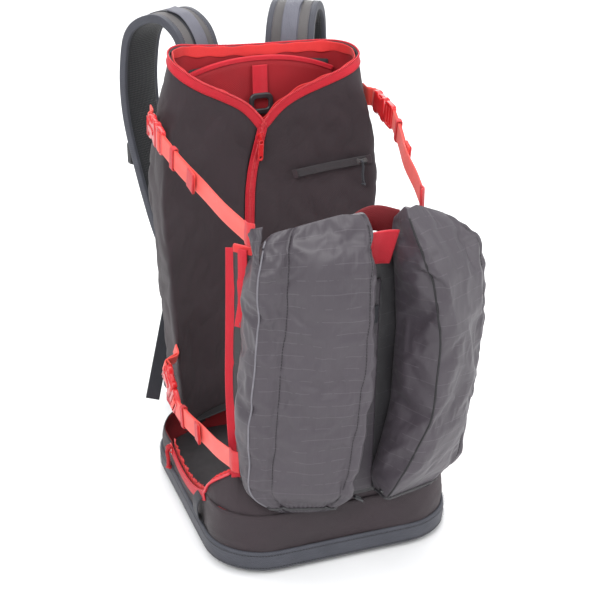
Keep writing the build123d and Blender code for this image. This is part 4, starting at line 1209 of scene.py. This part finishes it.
def pod_ring(levels, z):
    """One level ring of a pod: side, face, side, then back along the panel."""
    heights = list(levels)
    values = [[first, *ridge_1, *ridge_2, last] for first, ridge_1, ridge_2, last in levels.values()]
    first, x1, y1, x2, y2, last = [np.interp(z, heights, [value[k] for value in values]) for k in range(6)]
    start = panel_hit((first, -90), (x1, y1), z)
    end = panel_hit((last, -90), (x2, y2), z)
    chain = []
    for a, b, count in ((start, (x1, y1), SIDE_A), ((x1, y1), (x2, y2), FACE), ((x2, y2), end, SIDE_B)):
        a, b = np.array(a), np.array(b)
        chain.extend(a + (b - a) * t for t in np.linspace(0, 1, count, endpoint=False))
    chain.append(end)
    chain = soften(np.array(chain), 0, 3)
    centre_x, centre_y, radius, _ = panel_arc(z)
    reach = radius + POD_GAP
    turn_end = np.arctan2(end[0] - centre_x, centre_y - end[1])
    turn_start = np.arctan2(start[0] - centre_x, centre_y - start[1])
    back = [(centre_x + reach * sin(t), centre_y - reach * cos(t))
            for t in np.linspace(turn_end, turn_start, POD_BACK + 2)[1:-1]]
    ring = np.concatenate([chain, np.array(back)])
    return np.column_stack([ring, np.full(len(ring), z)])


FRONT_COUNT = SIDE_A + FACE + SIDE_B + 1
SEAMS = {
    "pod_left": (((0.24, 0.19), THREAD_DARK), ((0.97, 0.86), THREAD_DARK)),
    "pod_right": (((0.93, 0.93), THREAD_DARK),),
}


def seam_column(seam, row_share):
    """Column of a seam that runs from its share of the face at the top to its share at the bottom."""
    (top_share, low_share), _ = seam
    return SIDE_A + FACE * (low_share + (top_share - low_share) * row_share)


for pod, levels in POD_LEVELS.items():
    heights = np.linspace(84, POD_TOP, POD_ROWS)
    rings = np.array([pod_ring(levels, z) for z in heights])
    rings = soften(rings, 0, 4)
    # The top slopes down from the front edge to the panel.
    front_y, back_y = rings[:, :, 1].min(axis=1), rings[:, :, 1].max(axis=1)
    backness = np.clip((rings[:, :, 1] - front_y[:, None] - 8) / (back_y - front_y - 8)[:, None], 0, 1)
    slope = np.clip((heights - TOP_SLOPE_FROM) / (POD_TOP - TOP_SLOPE_FROM), 0, 1) ** 1.5
    rings[:, :, 2] -= TOP_DROP * slope[:, None] * backness
    middles = rings.mean(axis=1, keepdims=True)
    # Rounded shoulders at the top, a gathered hem at the bottom.
    for row in range(7):
        drop = (1 - row / 7) ** 2
        front = rings[row, :FRONT_COUNT]
        pulled = middles[row, 0] + (front - middles[row, 0]) * (1 - 0.10 * drop)
        gather = 1.6 * drop * np.sin(np.arange(FRONT_COUNT) * 1.9)
        rings[row, :FRONT_COUNT, :2] = pulled[:, :2]
        rings[row, :FRONT_COUNT, 1] += gather
        top = rings[-1 - row, :FRONT_COUNT]
        pulled = middles[-1 - row, 0] + (top - middles[-1 - row, 0]) * (1 - 0.10 * drop**1.5)
        rings[-1 - row, :FRONT_COUNT, :2] = pulled[:, :2]
    outward = normals_of(rings)
    if np.sum(outward[POD_ROWS // 2, SIDE_A + FACE // 2] * np.array([0, -1, 0])) < 0:
        outward = -outward
    front_mask = np.zeros(rings.shape[:2])
    front_mask[6:-4, 4:FRONT_COUNT - 4] = 1
    front_mask = soften(soften(front_mask, 1, 4), 0, 4)[:, :, None]
    folded = folds(rings, 5.0, (70, 70, 90), 17 if pod == "pod_left" else 29, outward)
    folded = folds(folded, 1.2, (22, 22, 30), 31, outward)
    rings = rings + (folded - rings) * front_mask
    # Seams are drawn in between the puffed fields.
    for row in range(POD_ROWS):
        for seam in SEAMS[pod]:
            column = seam_column(seam, row / (POD_ROWS - 1))
            distance = np.abs(np.arange(FRONT_COUNT) - column)
            groove = 3.0 * np.exp(-(distance / 1.1) ** 2)
            rings[row, :FRONT_COUNT] -= outward[row, :FRONT_COUNT] * groove[:, None]
    top_cap = [rings[-1] * share + rings[-1].mean(axis=0) * (1 - share) + np.array([0, 0, rise])
               for share, rise in ((0.95, 1.6), (0.8, 2.2), (0.5, 2.4), (0.2, 2.4), (0.03, 2.4))]
    low_cap = [rings[0] * share + rings[0].mean(axis=0) * (1 - share) - np.array([0, 0, rise])
               for share, rise in ((0.03, 5.0), (0.3, 5.0), (0.7, 4.6), (0.9, 2.6))]
    closed = np.concatenate([low_cap, rings, top_cap])
    body = surface(f"{pod}_cloth", closed, RIPSTOP, wrap=True, caps=True)
    pins = np.zeros(closed.shape[:2])
    pins[:, FRONT_COUNT - 1:] = 1
    pins[:, 0] = 1
    pins[:5] = 1
    pins[-6:] = 1
    for row in range(POD_ROWS):
        for seam in SEAMS[pod]:
            pins[4 + row, int(round(seam_column(seam, row / (POD_ROWS - 1))))] = 1
    puff(body, pins.ravel(), 2.2, 0.03, 11)
    points = np.zeros(len(body.data.vertices) * 3)
    body.data.vertices.foreach_get("co", points)
    final = points.reshape(closed.shape) / MM
    body.modifiers.new("smooth", "SUBSURF").levels = 1
    body.modifiers["smooth"].render_levels = 1
    body = settle(body)
    keep(body, "front_panel", pod, slot="ripstop", fill=0.75)
    final_out = normals_of(final)
    if np.sum(final_out[POD_ROWS // 2, SIDE_A + FACE // 2] * np.array([0, -1, 0])) < 0:
        final_out = -final_out
    body_rows = range(6, 4 + POD_ROWS - 2)
    for number, seam in enumerate(SEAMS[pod]):
        columns = [int(round(seam_column(seam, (row - 4) / (POD_ROWS - 1)))) + 1 for row in body_rows]
        line = np.array([final[row, column] + final_out[row, column] * 0.7 for row,
                         column in zip(body_rows, columns)])
        line = soften(line, 0, 3)
        across = np.array([final[row, column + 1] - final[row, column - 1] for row,
                           column in zip(body_rows, columns)])
        stitches(f"{pod}_seam_{number}", line, across, seam[1], "front_panel", "ripstop")
    # A welt along each folded edge; the left pod's is pale, a painted highlight along that crisp fold, and
    # the right pod's is dark.
    ridge = np.array([final[row, SIDE_A] + final_out[row, SIDE_A] * 0.3 for row in body_rows])
    ridge = soften(ridge, 0, 3)
    welt = tube(f"{pod}_welt", ridge, 1.1, THREAD_PALE if pod == "pod_left" else THREAD_DARK)
    keep(welt, "front_panel", slot="ripstop")
    hem_line = np.array([final[5, column] + final_out[5, column] * 0.8
                         for column in range(2, FRONT_COUNT - 2)])
    keep(tube(f"{pod}_hem", soften(hem_line, 0, 2), 1.8, RIPSTOP_DARK), "front_panel", slot="ripstop")

# A crumpled gusset fills the left pod's top corner, behind the strap's sewn end.
corner_back, corner_front, corner_foot = np.array([(-108, -140, 429), (-99, -166, 440), (-107, -172, 388)],
                                                  float)
gusset_rows = []
for share in np.linspace(0, 1, 24):
    back = corner_back + (corner_foot - corner_back) * share
    front = corner_front + (corner_foot - corner_front) * share
    gusset_rows.append([back + (front - back) * across for across in np.linspace(0, 1, 20)])
gusset = surface("pod_gusset", folds(np.array(gusset_rows), 2.6, (12, 12, 16), 57), RIPSTOP)
keep(thicken(gusset, 0.9), "front_panel", slot="ripstop")

# Elastic loops at the foot of the channel.
for number, share in enumerate((0.50, 0.60)):
    centre = panel_point(PANEL_BOTTOM + 8, share, 26)
    loop = [centre + np.array([5 * cos(t), 4 * sin(t), 9 * sin(t / 2) - 4])
            for t in np.linspace(0.2, 2 * pi - 0.2, 24)]
    keep(tube(f"gather_loop_{number}", np.array(loop), 1.5, PLASTIC), "front_panel", slot="ripstop")

# ---- compression straps ----
WEB, WEB_THICK = 25, 1.7
SOCKET_WIDTH, SOCKET_THICK = 32, 11
PLUG_BODY, PLUG_END = 35, 58
TAIL, KEEPER_AT = 96, 34
STRAPS = {
    "upper_left": (-147, (116, 476), (-262, -41), (-108, -140, 424)),
    "upper_right": (149, (116, 476), (-262, -41), (105, -128, 434)),
    "lower_left": (-150, (78, 160), (-48, -39), (-134, -150, 150)),
    "lower_right": (163, (78, 160), (-48, -39), (161, -150, 150)),
}
SAG = {"upper_left": 5, "upper_right": 4, "lower_left": 5, "lower_right": 5}
# Half outline of a socket: distance from its rear, half width; the waist shows the plug's prongs.
SOCKET_HALF = [(0, 12), (1.5, 14.4), (6, 15.4), (11, 15.2), (14, 12.6), (19, 11.6), (24, 12.8), (27, 15.6),
               (34, 16)]
sockets, anchors = [], []
for name, (x, (y, z), (run_y, run_z), sewn_end) in STRAPS.items():
    origin = np.array([x, y, z], float)
    run = unit((0, run_y, run_z))
    sideways = np.array([1.0 if x > 0 else -1.0, 0, 0])
    plane_y = np.cross((1.0, 0, 0), run)

    def at(along, across=0.0, out=0.0):
        """A point in the strap's own plane."""
        return origin + run * along + plane_y * across + sideways * out

    body = f"strap_{name}"
    outline = SOCKET_HALF + [(along, -half) for along, half in reversed(SOCKET_HALF)]
    socket = [plate(f"socket_shell_{name}", [outline], origin, run, RIGHT, SOCKET_THICK - 1.4, 2.6, BUCKLE)]
    socket.append(plate(f"socket_rib_{name}", [rounded(20, 9, 4, (17, 0))], at(0, 0, 5.0), run, RIGHT, 2,
                        0.9, BUCKLE))
    for bar in (2.6, 6.4):
        socket.append(tube(f"socket_bar_{name}_{bar}", np.array([at(bar, -12, 4.6), at(bar, 12, 4.6)]), 1.5,
                           BUCKLE))
    sockets.extend(socket)

    prongs = [plate(f"plug_body_{name}", [rounded(PLUG_END - PLUG_BODY, SOCKET_WIDTH, 5,
                                                  ((PLUG_BODY + PLUG_END) / 2, 0)),
                                          rounded(4, WEB + 1, 1.8, (PLUG_END - 14, 0)),
                                          rounded(4, WEB + 1, 1.8, (PLUG_END - 6, 0))],
                    origin, run, RIGHT, 7, 1.6, BUCKLE)]
    for across in (-12.2, 12.2):
        prongs.append(plate(f"plug_prong_{name}_{across}", [rounded(13, 5.4, 2.4, (20, across))], origin,
                            run, RIGHT, 5.6, 1.4, BUCKLE))
        prongs.append(plate(f"plug_arm_{name}_{across}", [rounded(16, 3, 1.4, (30, across * 0.86))], origin,
                            run, RIGHT, 3.6, 1.0, BUCKLE))
    keep(join(f"plug_{name}_set", prongs), body, f"plug_{name}", slot="red_buckle")

    # Anchor tab: from the seam on the bag's side, out and round the socket's rear bar.
    side_x = sideways[0] * (np.interp(z, [61, 230, 380, 459], [127, 135, 145, 139]) + 1.6)
    root = np.array([side_x, y, z]) - run * 26
    fold = np.array([side_x, y, z]) - run * 12 + sideways * 1.0
    anchor_path = through([root, fold, at(-7, 0, 0.6), at(-1, 0, 2.6), at(4, 0, 3.4)], 40)
    anchors.append(ribbon(f"anchor_{name}", anchor_path, plane_y, WEB, 2.2, CORAL))
    back_path = through([at(4, 0, -3.2), at(-1, 0, -2.6), at(-8, 0, -1.6), fold - run * 2 + sideways * 0.6],
                        30)
    anchors.append(ribbon(f"anchor_back_{name}", back_path, plane_y, WEB, 1.8, CORAL))

    start = at(PLUG_END - 4)
    sewn = np.array(sewn_end, float)
    along = unit(sewn - start)
    across = unit(np.cross(sideways, along))
    out = np.cross(along, across)
    length = np.linalg.norm(sewn - start)
    shares = np.linspace(0, 1, 70)
    hang = SAG[name] * np.sin(pi * shares) ** 1.2
    strip = start + np.outer(shares, sewn - start) + np.outer(hang, (0, 0, -1.0))
    strip += np.outer(1.2 * np.sin(3 * pi * shares) * np.sin(pi * shares), out)
    sides = np.tile(across, (70, 1))
    turn = np.clip(1 - shares * length / 26, 0, 1)[:, None]
    sides = unit(sides * (1 - turn) + plane_y * np.sign(across @ plane_y) * turn)
    pieces = [ribbon(f"strip_{name}", strip, sides, WEB, WEB_THICK, CORAL)]
    count = int(70 * TAIL / length)
    tail = strip[:count] + sides[:count] * 0.8 + np.cross(along, sides[:count]) * 2.3
    tail[-8:] += np.outer(np.linspace(0, 2.2, 8) ** 1.3, out)
    pieces.append(ribbon(f"tail_{name}", tail, sides[:count], WEB, WEB_THICK, CORAL))
    end_fold = tail[-7:] + out * 1.6
    pieces.append(ribbon(f"tail_end_{name}", end_fold, sides[count - 7:count], WEB + 0.6, 2.4, CORAL_EDGE))
    wrap = [at(PLUG_END - 6, 0, 3.0), at(PLUG_END - 9.5, 0, 4.4), at(PLUG_END - 13, 0, 2.6)]
    pieces.append(ribbon(f"wrap_{name}", through(wrap, 16), plane_y, WEB, WEB_THICK, CORAL))
    keeper_row = int(70 * KEEPER_AT / length)
    middle = strip[keeper_row] + out * 1.2
    ring = [middle + across * a + out * b for a, b in
            rounded(WEB + 3.4, 6.6, 2.2, corners=4)]
    pieces.append(ribbon(f"keeper_{name}", np.array(ring), along, 8.5, 1.5, CORAL_EDGE, closed=True))
    keep(join(f"webbing_{name}_set", pieces), body, f"webbing_{name}", slot="red_webbing")
    for offset in (0.30, 0.36):
        row = int(count * (offset + 0.5))
        box_line = np.array([tail[row] + across * a + out * 1.1 for a in np.linspace(-10, 10, 12)])
        stitches(f"tail_stitch_{name}_{row}", box_line, along, THREAD_RED, body, "red_webbing")
keep(join("buckle_sockets_set", sockets), "pack", "buckle_sockets", slot="red_buckle")
keep(join("anchor_tabs_set", anchors), "pack", "strap_anchor_tabs", slot="red_webbing")

# Tabs that hold the straps' sewn ends on the front panel.
tabs = []
for name, (_, _, _, sewn_end) in STRAPS.items():
    sideways = 1 if sewn_end[0] > 0 else -1
    inward = np.array([-sideways * 0.3, -1.0, 0])
    path = through([np.array(sewn_end) + np.array([sideways * 0.6, 6, 0]),
                    np.array(sewn_end) + np.array([0, -3, 0]),
                    np.array(sewn_end) + inward * 9 + np.array([-sideways * 3, 0, 0])], 24)
    tabs.append(ribbon(f"tab_{name}", path, UP, 28, 2.6, CORAL_EDGE))
keep(join("panel_tabs_set", tabs), "front_panel", "panel_tabs", slot="red_webbing")

# ---- zips along the bag's lower sides; sliders and braided pulls on the side zips ----
BAG_SIDE_X, SIDE_BAND_Z = 128, 69.5
for side, sign in SIDES.items():
    line = np.array([(sign * (BAG_SIDE_X + 1.6), y, SIDE_BAND_Z) for y in np.linspace(95, 168, 50)])
    zip_line(f"side_band_{side}", line, UP, "pack", edge=-HALF_TAPE + 1.5)

PULL_Y, PULL_Z = 58, 56
for side, sign in SIDES.items():
    slider(f"side_zip_{side}", (sign * 152.8, PULL_Y, PULL_Z - 4), (0, sign, 0), (sign, 0, 0), 9, 14, "pack",
           ("side_zip_sliders",) if side == "left" else (), BUCKLE)
    cord_line = [(sign * 157.4, PULL_Y, PULL_Z), (sign * 159.2, PULL_Y + 1.5, PULL_Z - 8),
                 (sign * 158.8, PULL_Y - 1.5, PULL_Z - 18), (sign * 158.4, PULL_Y, PULL_Z - 30)]
    twisted_cord(f"side_pull_{side}", through(cord_line, 46), 2.4, CORD, f"side_zip_pull_{side}",
                 (f"side_zip_pull_{side}",))

# ---- tool loops ----
loops = []
for side, sign in SIDES.items():
    path = through([(sign * 151.6, -74, 62), (sign * 155, -74, 60.5), (sign * 158.8, -74, 54),
                    (sign * 159.4, -74, 44), (sign * 158.2, -74, 34), (sign * 154.4, -74, 28.5),
                    (sign * 151.6, -74, 27)], 40)
    loops.append(ribbon(f"tool_loop_{side}", path, BACK, 20, 1.7, DARK_WEB))
keep(join("tool_loops_set", loops), "pack", "tool_loops", slot="black_webbing")

# ---- shoulder straps ----
STRAP_ROOT_X, STRAP_ROOT_Y, STRAP_SPLAY = 58, 193, radians(30)
STRAP_PATH = [(0, 462), (1, 500), (5, 534), (19, 562), (48, 576), (82, 567), (105, 546), (115, 510),
              (118, 466), (112, 418), (92, 350), (70, 288), (57, 240)]


def strap_point(sign, distance, height, across=0.0):
    """A point in a shoulder strap's upright plane, or beside it."""
    out = np.array([sign * sin(STRAP_SPLAY), cos(STRAP_SPLAY), 0])
    normal = np.array([cos(STRAP_SPLAY), -sign * sin(STRAP_SPLAY), 0])
    return np.array([sign * STRAP_ROOT_X, STRAP_ROOT_Y, height]) + out * distance + normal * across


for side, sign in SIDES.items():
    path = through([strap_point(sign, distance, height) for distance, height in STRAP_PATH], 150)
    width_side = np.array([-cos(STRAP_SPLAY), sign * sin(STRAP_SPLAY), 0])
    share = np.linspace(0, 1, 150)
    width = 62 - 4 * np.sin(pi * share) - 22 * np.clip((share - 0.86) / 0.14, 0, 1) ** 2
    along, across, out = path_frame(path, width_side)
    core = ribbon(f"strap_core_{side}", path, width_side, width - 4, 7.5, MESH, lift=-1.4, crown=-1.6)
    keep(core, "pack", f"shoulder_strap_{side}", slot="foam", fill=0.7)
    face = ribbon(f"strap_cover_{side}", path, width_side, width - 5, 2.6, STRAP_FACE, lift=3.6, crown=1.6)
    keep(face, "pack", slot="foam")
    for edge in (-1, 1):
        bound = path + across * (edge * (width - 5) / 2)[:, None] + out * 0.6
        band("pack", "binding", (), f"strap_binding_{side}_{edge}", bound, width_side, 8, 10.6,
             BINDING_CLOTH)
        stitch_line = path + across * (edge * (width - 13.5) / 2)[:, None] + out * 5.8
        stitches(f"strap_stitch_{side}_{edge}", stitch_line[4:-4], width_side, THREAD_PALE, "pack",
                 "binding")
    middle = path[10:126] + out[10:126] * 6.6
    # The right strap's middle webbing is painted grey and the left one's dark: painted light and shade on a
    # matching pair of straps.
    side_lit_middle_web = DARK_WEB if side == "left" else GREY_WEB
    band("pack", "black_webbing", (), f"strap_middle_{side}", middle, width_side, 22, 1.8, side_lit_middle_web)
    for row in (16, 48, 76, 104, 122):
        bar = np.array([path[row] + across[row] * a + out[row] * 7.8 for a in np.linspace(-10, 10, 12)])
        stitches(f"strap_bar_{side}_{row}", bar, along[row], THREAD_DARK, "pack", "black_webbing")
    # Load lifter's loose tail, from the top of the strap down towards the back.
    lifter = through([strap_point(sign, -6, 506, 0), strap_point(sign, -5, 530), strap_point(sign, 4, 558),
                      strap_point(sign, 26, 580), strap_point(sign, 50, 586, sign * 3)], 40)
    band("pack", "black_webbing", (), f"strap_lifter_{side}", lifter, width_side, 20, 1.8, GREY_WEB)

# Strap adjusters and the webbing below them.
adjusters, hangers = [], []
HEM_POINT = np.array([149, 174, 62.0])
for side, sign in SIDES.items():
    mirror = np.array([sign, 1, 1])
    tip = strap_point(1, 57, 240) * mirror + np.array([0, -1, -10])
    hem_point = HEM_POINT * mirror
    along = unit(hem_point - tip)
    across = unit(np.cross((0, 1.0, 0), along))
    out = np.cross(along, across)
    adjuster_holes = [rounded(4, 22, 1.6, (10, 0)), rounded(4, 22, 1.6, (22, 0))]
    adjusters.append(plate(f"adjuster_{side}", [rounded(30, 30, 4, (16, 0)), *adjuster_holes],
                           tip + out * 2, along, out, 4, 1.5, PLASTIC))
    adjusters.append(plate(f"adjuster_lip_{side}", [rounded(5, 26, 2, (29, 0))], tip + out * 4.4, along,
                           out, 2.4, 1.0, PLASTIC))
    loop_path = [tip - along * 14 + out * 1, tip - along * 4 + out * 0.6, tip + along * 8 + out * 2.4,
                 tip + along * 10 + out * 4.6]
    adjusters.append(ribbon(f"adjuster_loop_{side}", through(loop_path, 20), across, 20, 1.8, DARK_WEB))
    hang_path = through([tip + along * 12 + out * 4.4, tip + along * 20 + out * 3.4,
                         tip + along * 26 + out * 0.8, tip + along * 60 + out * 2.4,
                         tip + along * 120 + out * 1.6, hem_point - along * 3 + out * 0.8], 80)
    hangers.append(ribbon(f"hang_web_{side}", hang_path, across, 20, 1.7, DARK_WEB))
keep(join("adjusters_set", adjusters), "pack", "strap_adjusters", slot="black_plastic")
keep(join("lower_webbing_set", hangers), "pack", "lower_webbing", slot="black_webbing")

# ---- sternum strap halves on their rails ----
RAIL_FACE, RAIL_MIDDLE, RAIL_LENGTH = 127.2, 466, 92
SLIDER_Z = 470
rails = []
for side, sign in SIDES.items():
    width_side = np.array([-cos(STRAP_SPLAY), sign * sin(STRAP_SPLAY), 0])
    out = np.array([sign * sin(STRAP_SPLAY), cos(STRAP_SPLAY), 0])
    low, high = RAIL_MIDDLE - RAIL_LENGTH / 2, RAIL_MIDDLE + RAIL_LENGTH / 2
    path = through([strap_point(sign, 124.2, high - 3), strap_point(sign, RAIL_FACE + 0.6, high - 10),
                    strap_point(sign, RAIL_FACE + 0.8, RAIL_MIDDLE),
                    strap_point(sign, RAIL_FACE + 0.6, low + 10), strap_point(sign, 124.2, low + 3)], 60)
    rails.append(ribbon(f"rail_{side}", path, width_side, 20, 1.6, DARK_WEB))
    hardware = []
    slide_plane = strap_point(sign, RAIL_FACE + 0.6, SLIDER_Z)
    for face in (-2.9, 2.9):
        hardware.append(plate(f"sternum_clip_{side}_{face}", [rounded(28, 16, 4)], slide_plane + out * face,
                              width_side, out, 1.8, 0.7, PLASTIC))
    for edge in (-1, 1):
        hardware.append(plate(f"sternum_clip_side_{side}_{edge}", [rounded(7, 16, 2)],
                              slide_plane + width_side * edge * 12.6, out, width_side, 2.6, 1.0, PLASTIC))
    buckle_at = strap_point(sign, RAIL_FACE + 5.2, SLIDER_Z - 76.5 - 17)
    hardware.append(plate(f"sternum_buckle_{side}", [rounded(25, 34, 6), rounded(14, 4, 1.8, (0, -10))],
                          buckle_at, width_side, out, 8, 2.2, PLASTIC))
    keep(join(f"sternum_hardware_{side}_set", hardware), f"sternum_{side}", f"sternum_hardware_{side}",
         slot="black_plastic")
    web_path = through([strap_point(sign, RAIL_FACE + 4.6, SLIDER_Z + 8),
                        strap_point(sign, RAIL_FACE + 6.4, SLIDER_Z - 26),
                        strap_point(sign, RAIL_FACE + 6.8, SLIDER_Z - 52),
                        strap_point(sign, RAIL_FACE + 5.4, SLIDER_Z - 78)], 50)
    band(f"sternum_{side}", "black_webbing", (f"sternum_webbing_{side}",), f"sternum_band_{side}", web_path,
         width_side, 20, 1.7, DARK_WEB)
keep(join("sternum_rails_set", rails), "pack", "sternum_rails", slot="black_webbing")

# ---- hip belt ----
WING_PATH = [(84, 191), (98, 206), (104, 232), (103, 262), (88, 290)]
HIP_X, HIP_Y = 82, 303.5
for side, sign in SIDES.items():
    body = f"hip_{side}"
    path = through([(sign * x, y, 103) for x, y in WING_PATH], 70)
    share = np.linspace(0, 1, 70)
    width = 66 - 16 * share**2
    wing = ribbon(f"wing_core_{side}", path, UP, width, 9, MESH, crown=2.2 * -sign)
    keep(wing, body, f"hip_wing_{side}", slot="foam", fill=0.7)
    along, across, out = path_frame(path, UP)
    outer = out * (1 if out[35] @ np.array([sign, 0, 0]) > 0 else -1)
    face_path = path + outer * 4.6
    band(body, "shell_fabric", (), f"wing_face_{side}", face_path, UP, width - 5, 2.2, SHELL)
    for edge in (-1, 1):
        bound = path + across * (edge * (width - 5) / 2)[:, None]
        band(body, "binding", (), f"wing_binding_{side}_{edge}", bound, UP, 8, 12.5, BINDING_CLOTH)
    end_bound = np.array([path[-1] + across[-1] * a for a in np.linspace(-25, 25, 20)])
    keep(tube(f"wing_end_{side}", end_bound, 5.4, BINDING_CLOTH), body, slot="binding")
    belt = through([path[8] + outer[8] * 7, path[30] + outer[30] * 6.8, path[54] + outer[54] * 6.6,
                    path[-1] + outer[-1] * 6, (sign * 84, 300.5, 103), (sign * HIP_X, HIP_Y, 96),
                    (sign * HIP_X, HIP_Y + 0.4, 70), (sign * HIP_X, HIP_Y, 46)], 120)
    band(body, "black_webbing", (f"hip_webbing_{side}",), f"hip_band_{side}", belt[66:], RIGHT, WEB, 1.7,
         DARK_WEB)
    band(body, "black_webbing", (), f"hip_belt_{side}", belt[:66], UP, WEB, 1.7, DARK_WEB)
    buckle = [plate(f"hip_shell_{side}", [rounded(36, 44, 8), rounded(20, 4, 1.8, (0, 15)),
                                          rounded(12, 16, 4, (0, -6))], (sign * HIP_X, HIP_Y, 28), RIGHT,
                    BACK, 11, 2.8, PLASTIC)]
    buckle.append(plate(f"hip_tongue_{side}", [rounded(14, 18, 4)], (sign * HIP_X, HIP_Y, 34), RIGHT, BACK,
                        6, 1.6, PLASTIC))
    keep(join(f"hip_buckle_{side}_set", buckle), body, f"hip_buckle_{side}", slot="black_plastic")

# ---- back pad and haul loop ----
PAD_HALF, PAD_LOW, PAD_HIGH, PAD_BACK, PAD_THICK = 108, 96, 464, 168.4, 12
PAD_CORNER = 26
rows = []
for z in np.linspace(PAD_LOW, PAD_HIGH, 110):
    from_end = min(z - PAD_LOW, PAD_HIGH - z)
    cut = PAD_CORNER - sqrt(max(PAD_CORNER**2 - max(PAD_CORNER - from_end, 0) ** 2, 0))
    half = PAD_HALF - cut
    row = []
    for place in np.linspace(-1, 1, 90):
        x = place * half
        rim_fall = min((half - abs(x)) / 9, from_end / 9, 1)
        depth = PAD_THICK * (0.30 + 0.70 * sqrt(max(1 - (1 - rim_fall) ** 2, 0)))
        for groove in (-36, 36):
            depth -= 4.6 * np.exp(-((x - groove) / 5) ** 2) * rim_fall
        for groove in (214, 340):
            depth -= 4.2 * np.exp(-((z - groove) / 5) ** 2) * rim_fall
        row.append((x, PAD_BACK + depth, z))
    rows.append([(point[0], PAD_BACK, z) for point in row[::-1]] + row)
pad = surface("pad_cloth", np.array(rows), MESH, wrap=True, caps=True)
keep(pad, "pack", "back_pad", slot="foam", fill=0.6)
pad_edge = np.array([(x, PAD_BACK + 2.2, z + (PAD_LOW + PAD_HIGH) / 2) for x, z in
                     rounded(PAD_HALF * 2 - 1, PAD_HIGH - PAD_LOW - 1, PAD_CORNER)])
pad_edge = even(pad_edge, 260, closed=True)
keep(tube("pad_binding", pad_edge, 2.6, BINDING_CLOTH, closed=True), "pack", slot="binding")

HAUL_HALF, HAUL_TOP, HAUL_LOW = 18, 528, 480
haul = through([(-HAUL_HALF, 169.6, HAUL_TOP), (-HAUL_HALF, 169.7, 504), (-HAUL_HALF + 3, 169.8, 488),
                (-HAUL_HALF + 12, 169.8, HAUL_LOW + 1), (0, 169.8, HAUL_LOW),
                (HAUL_HALF - 12, 169.8, HAUL_LOW + 1), (HAUL_HALF - 3, 169.8, 488), (HAUL_HALF, 169.7, 504),
                (HAUL_HALF, 169.6, HAUL_TOP)], 90)
haul_across = unit(np.cross(np.gradient(haul, axis=0), BACK))
band("haul_loop", "black_webbing", ("haul_loop",), "haul_band", haul, haul_across, 10, 2.4, DARK_WEB)
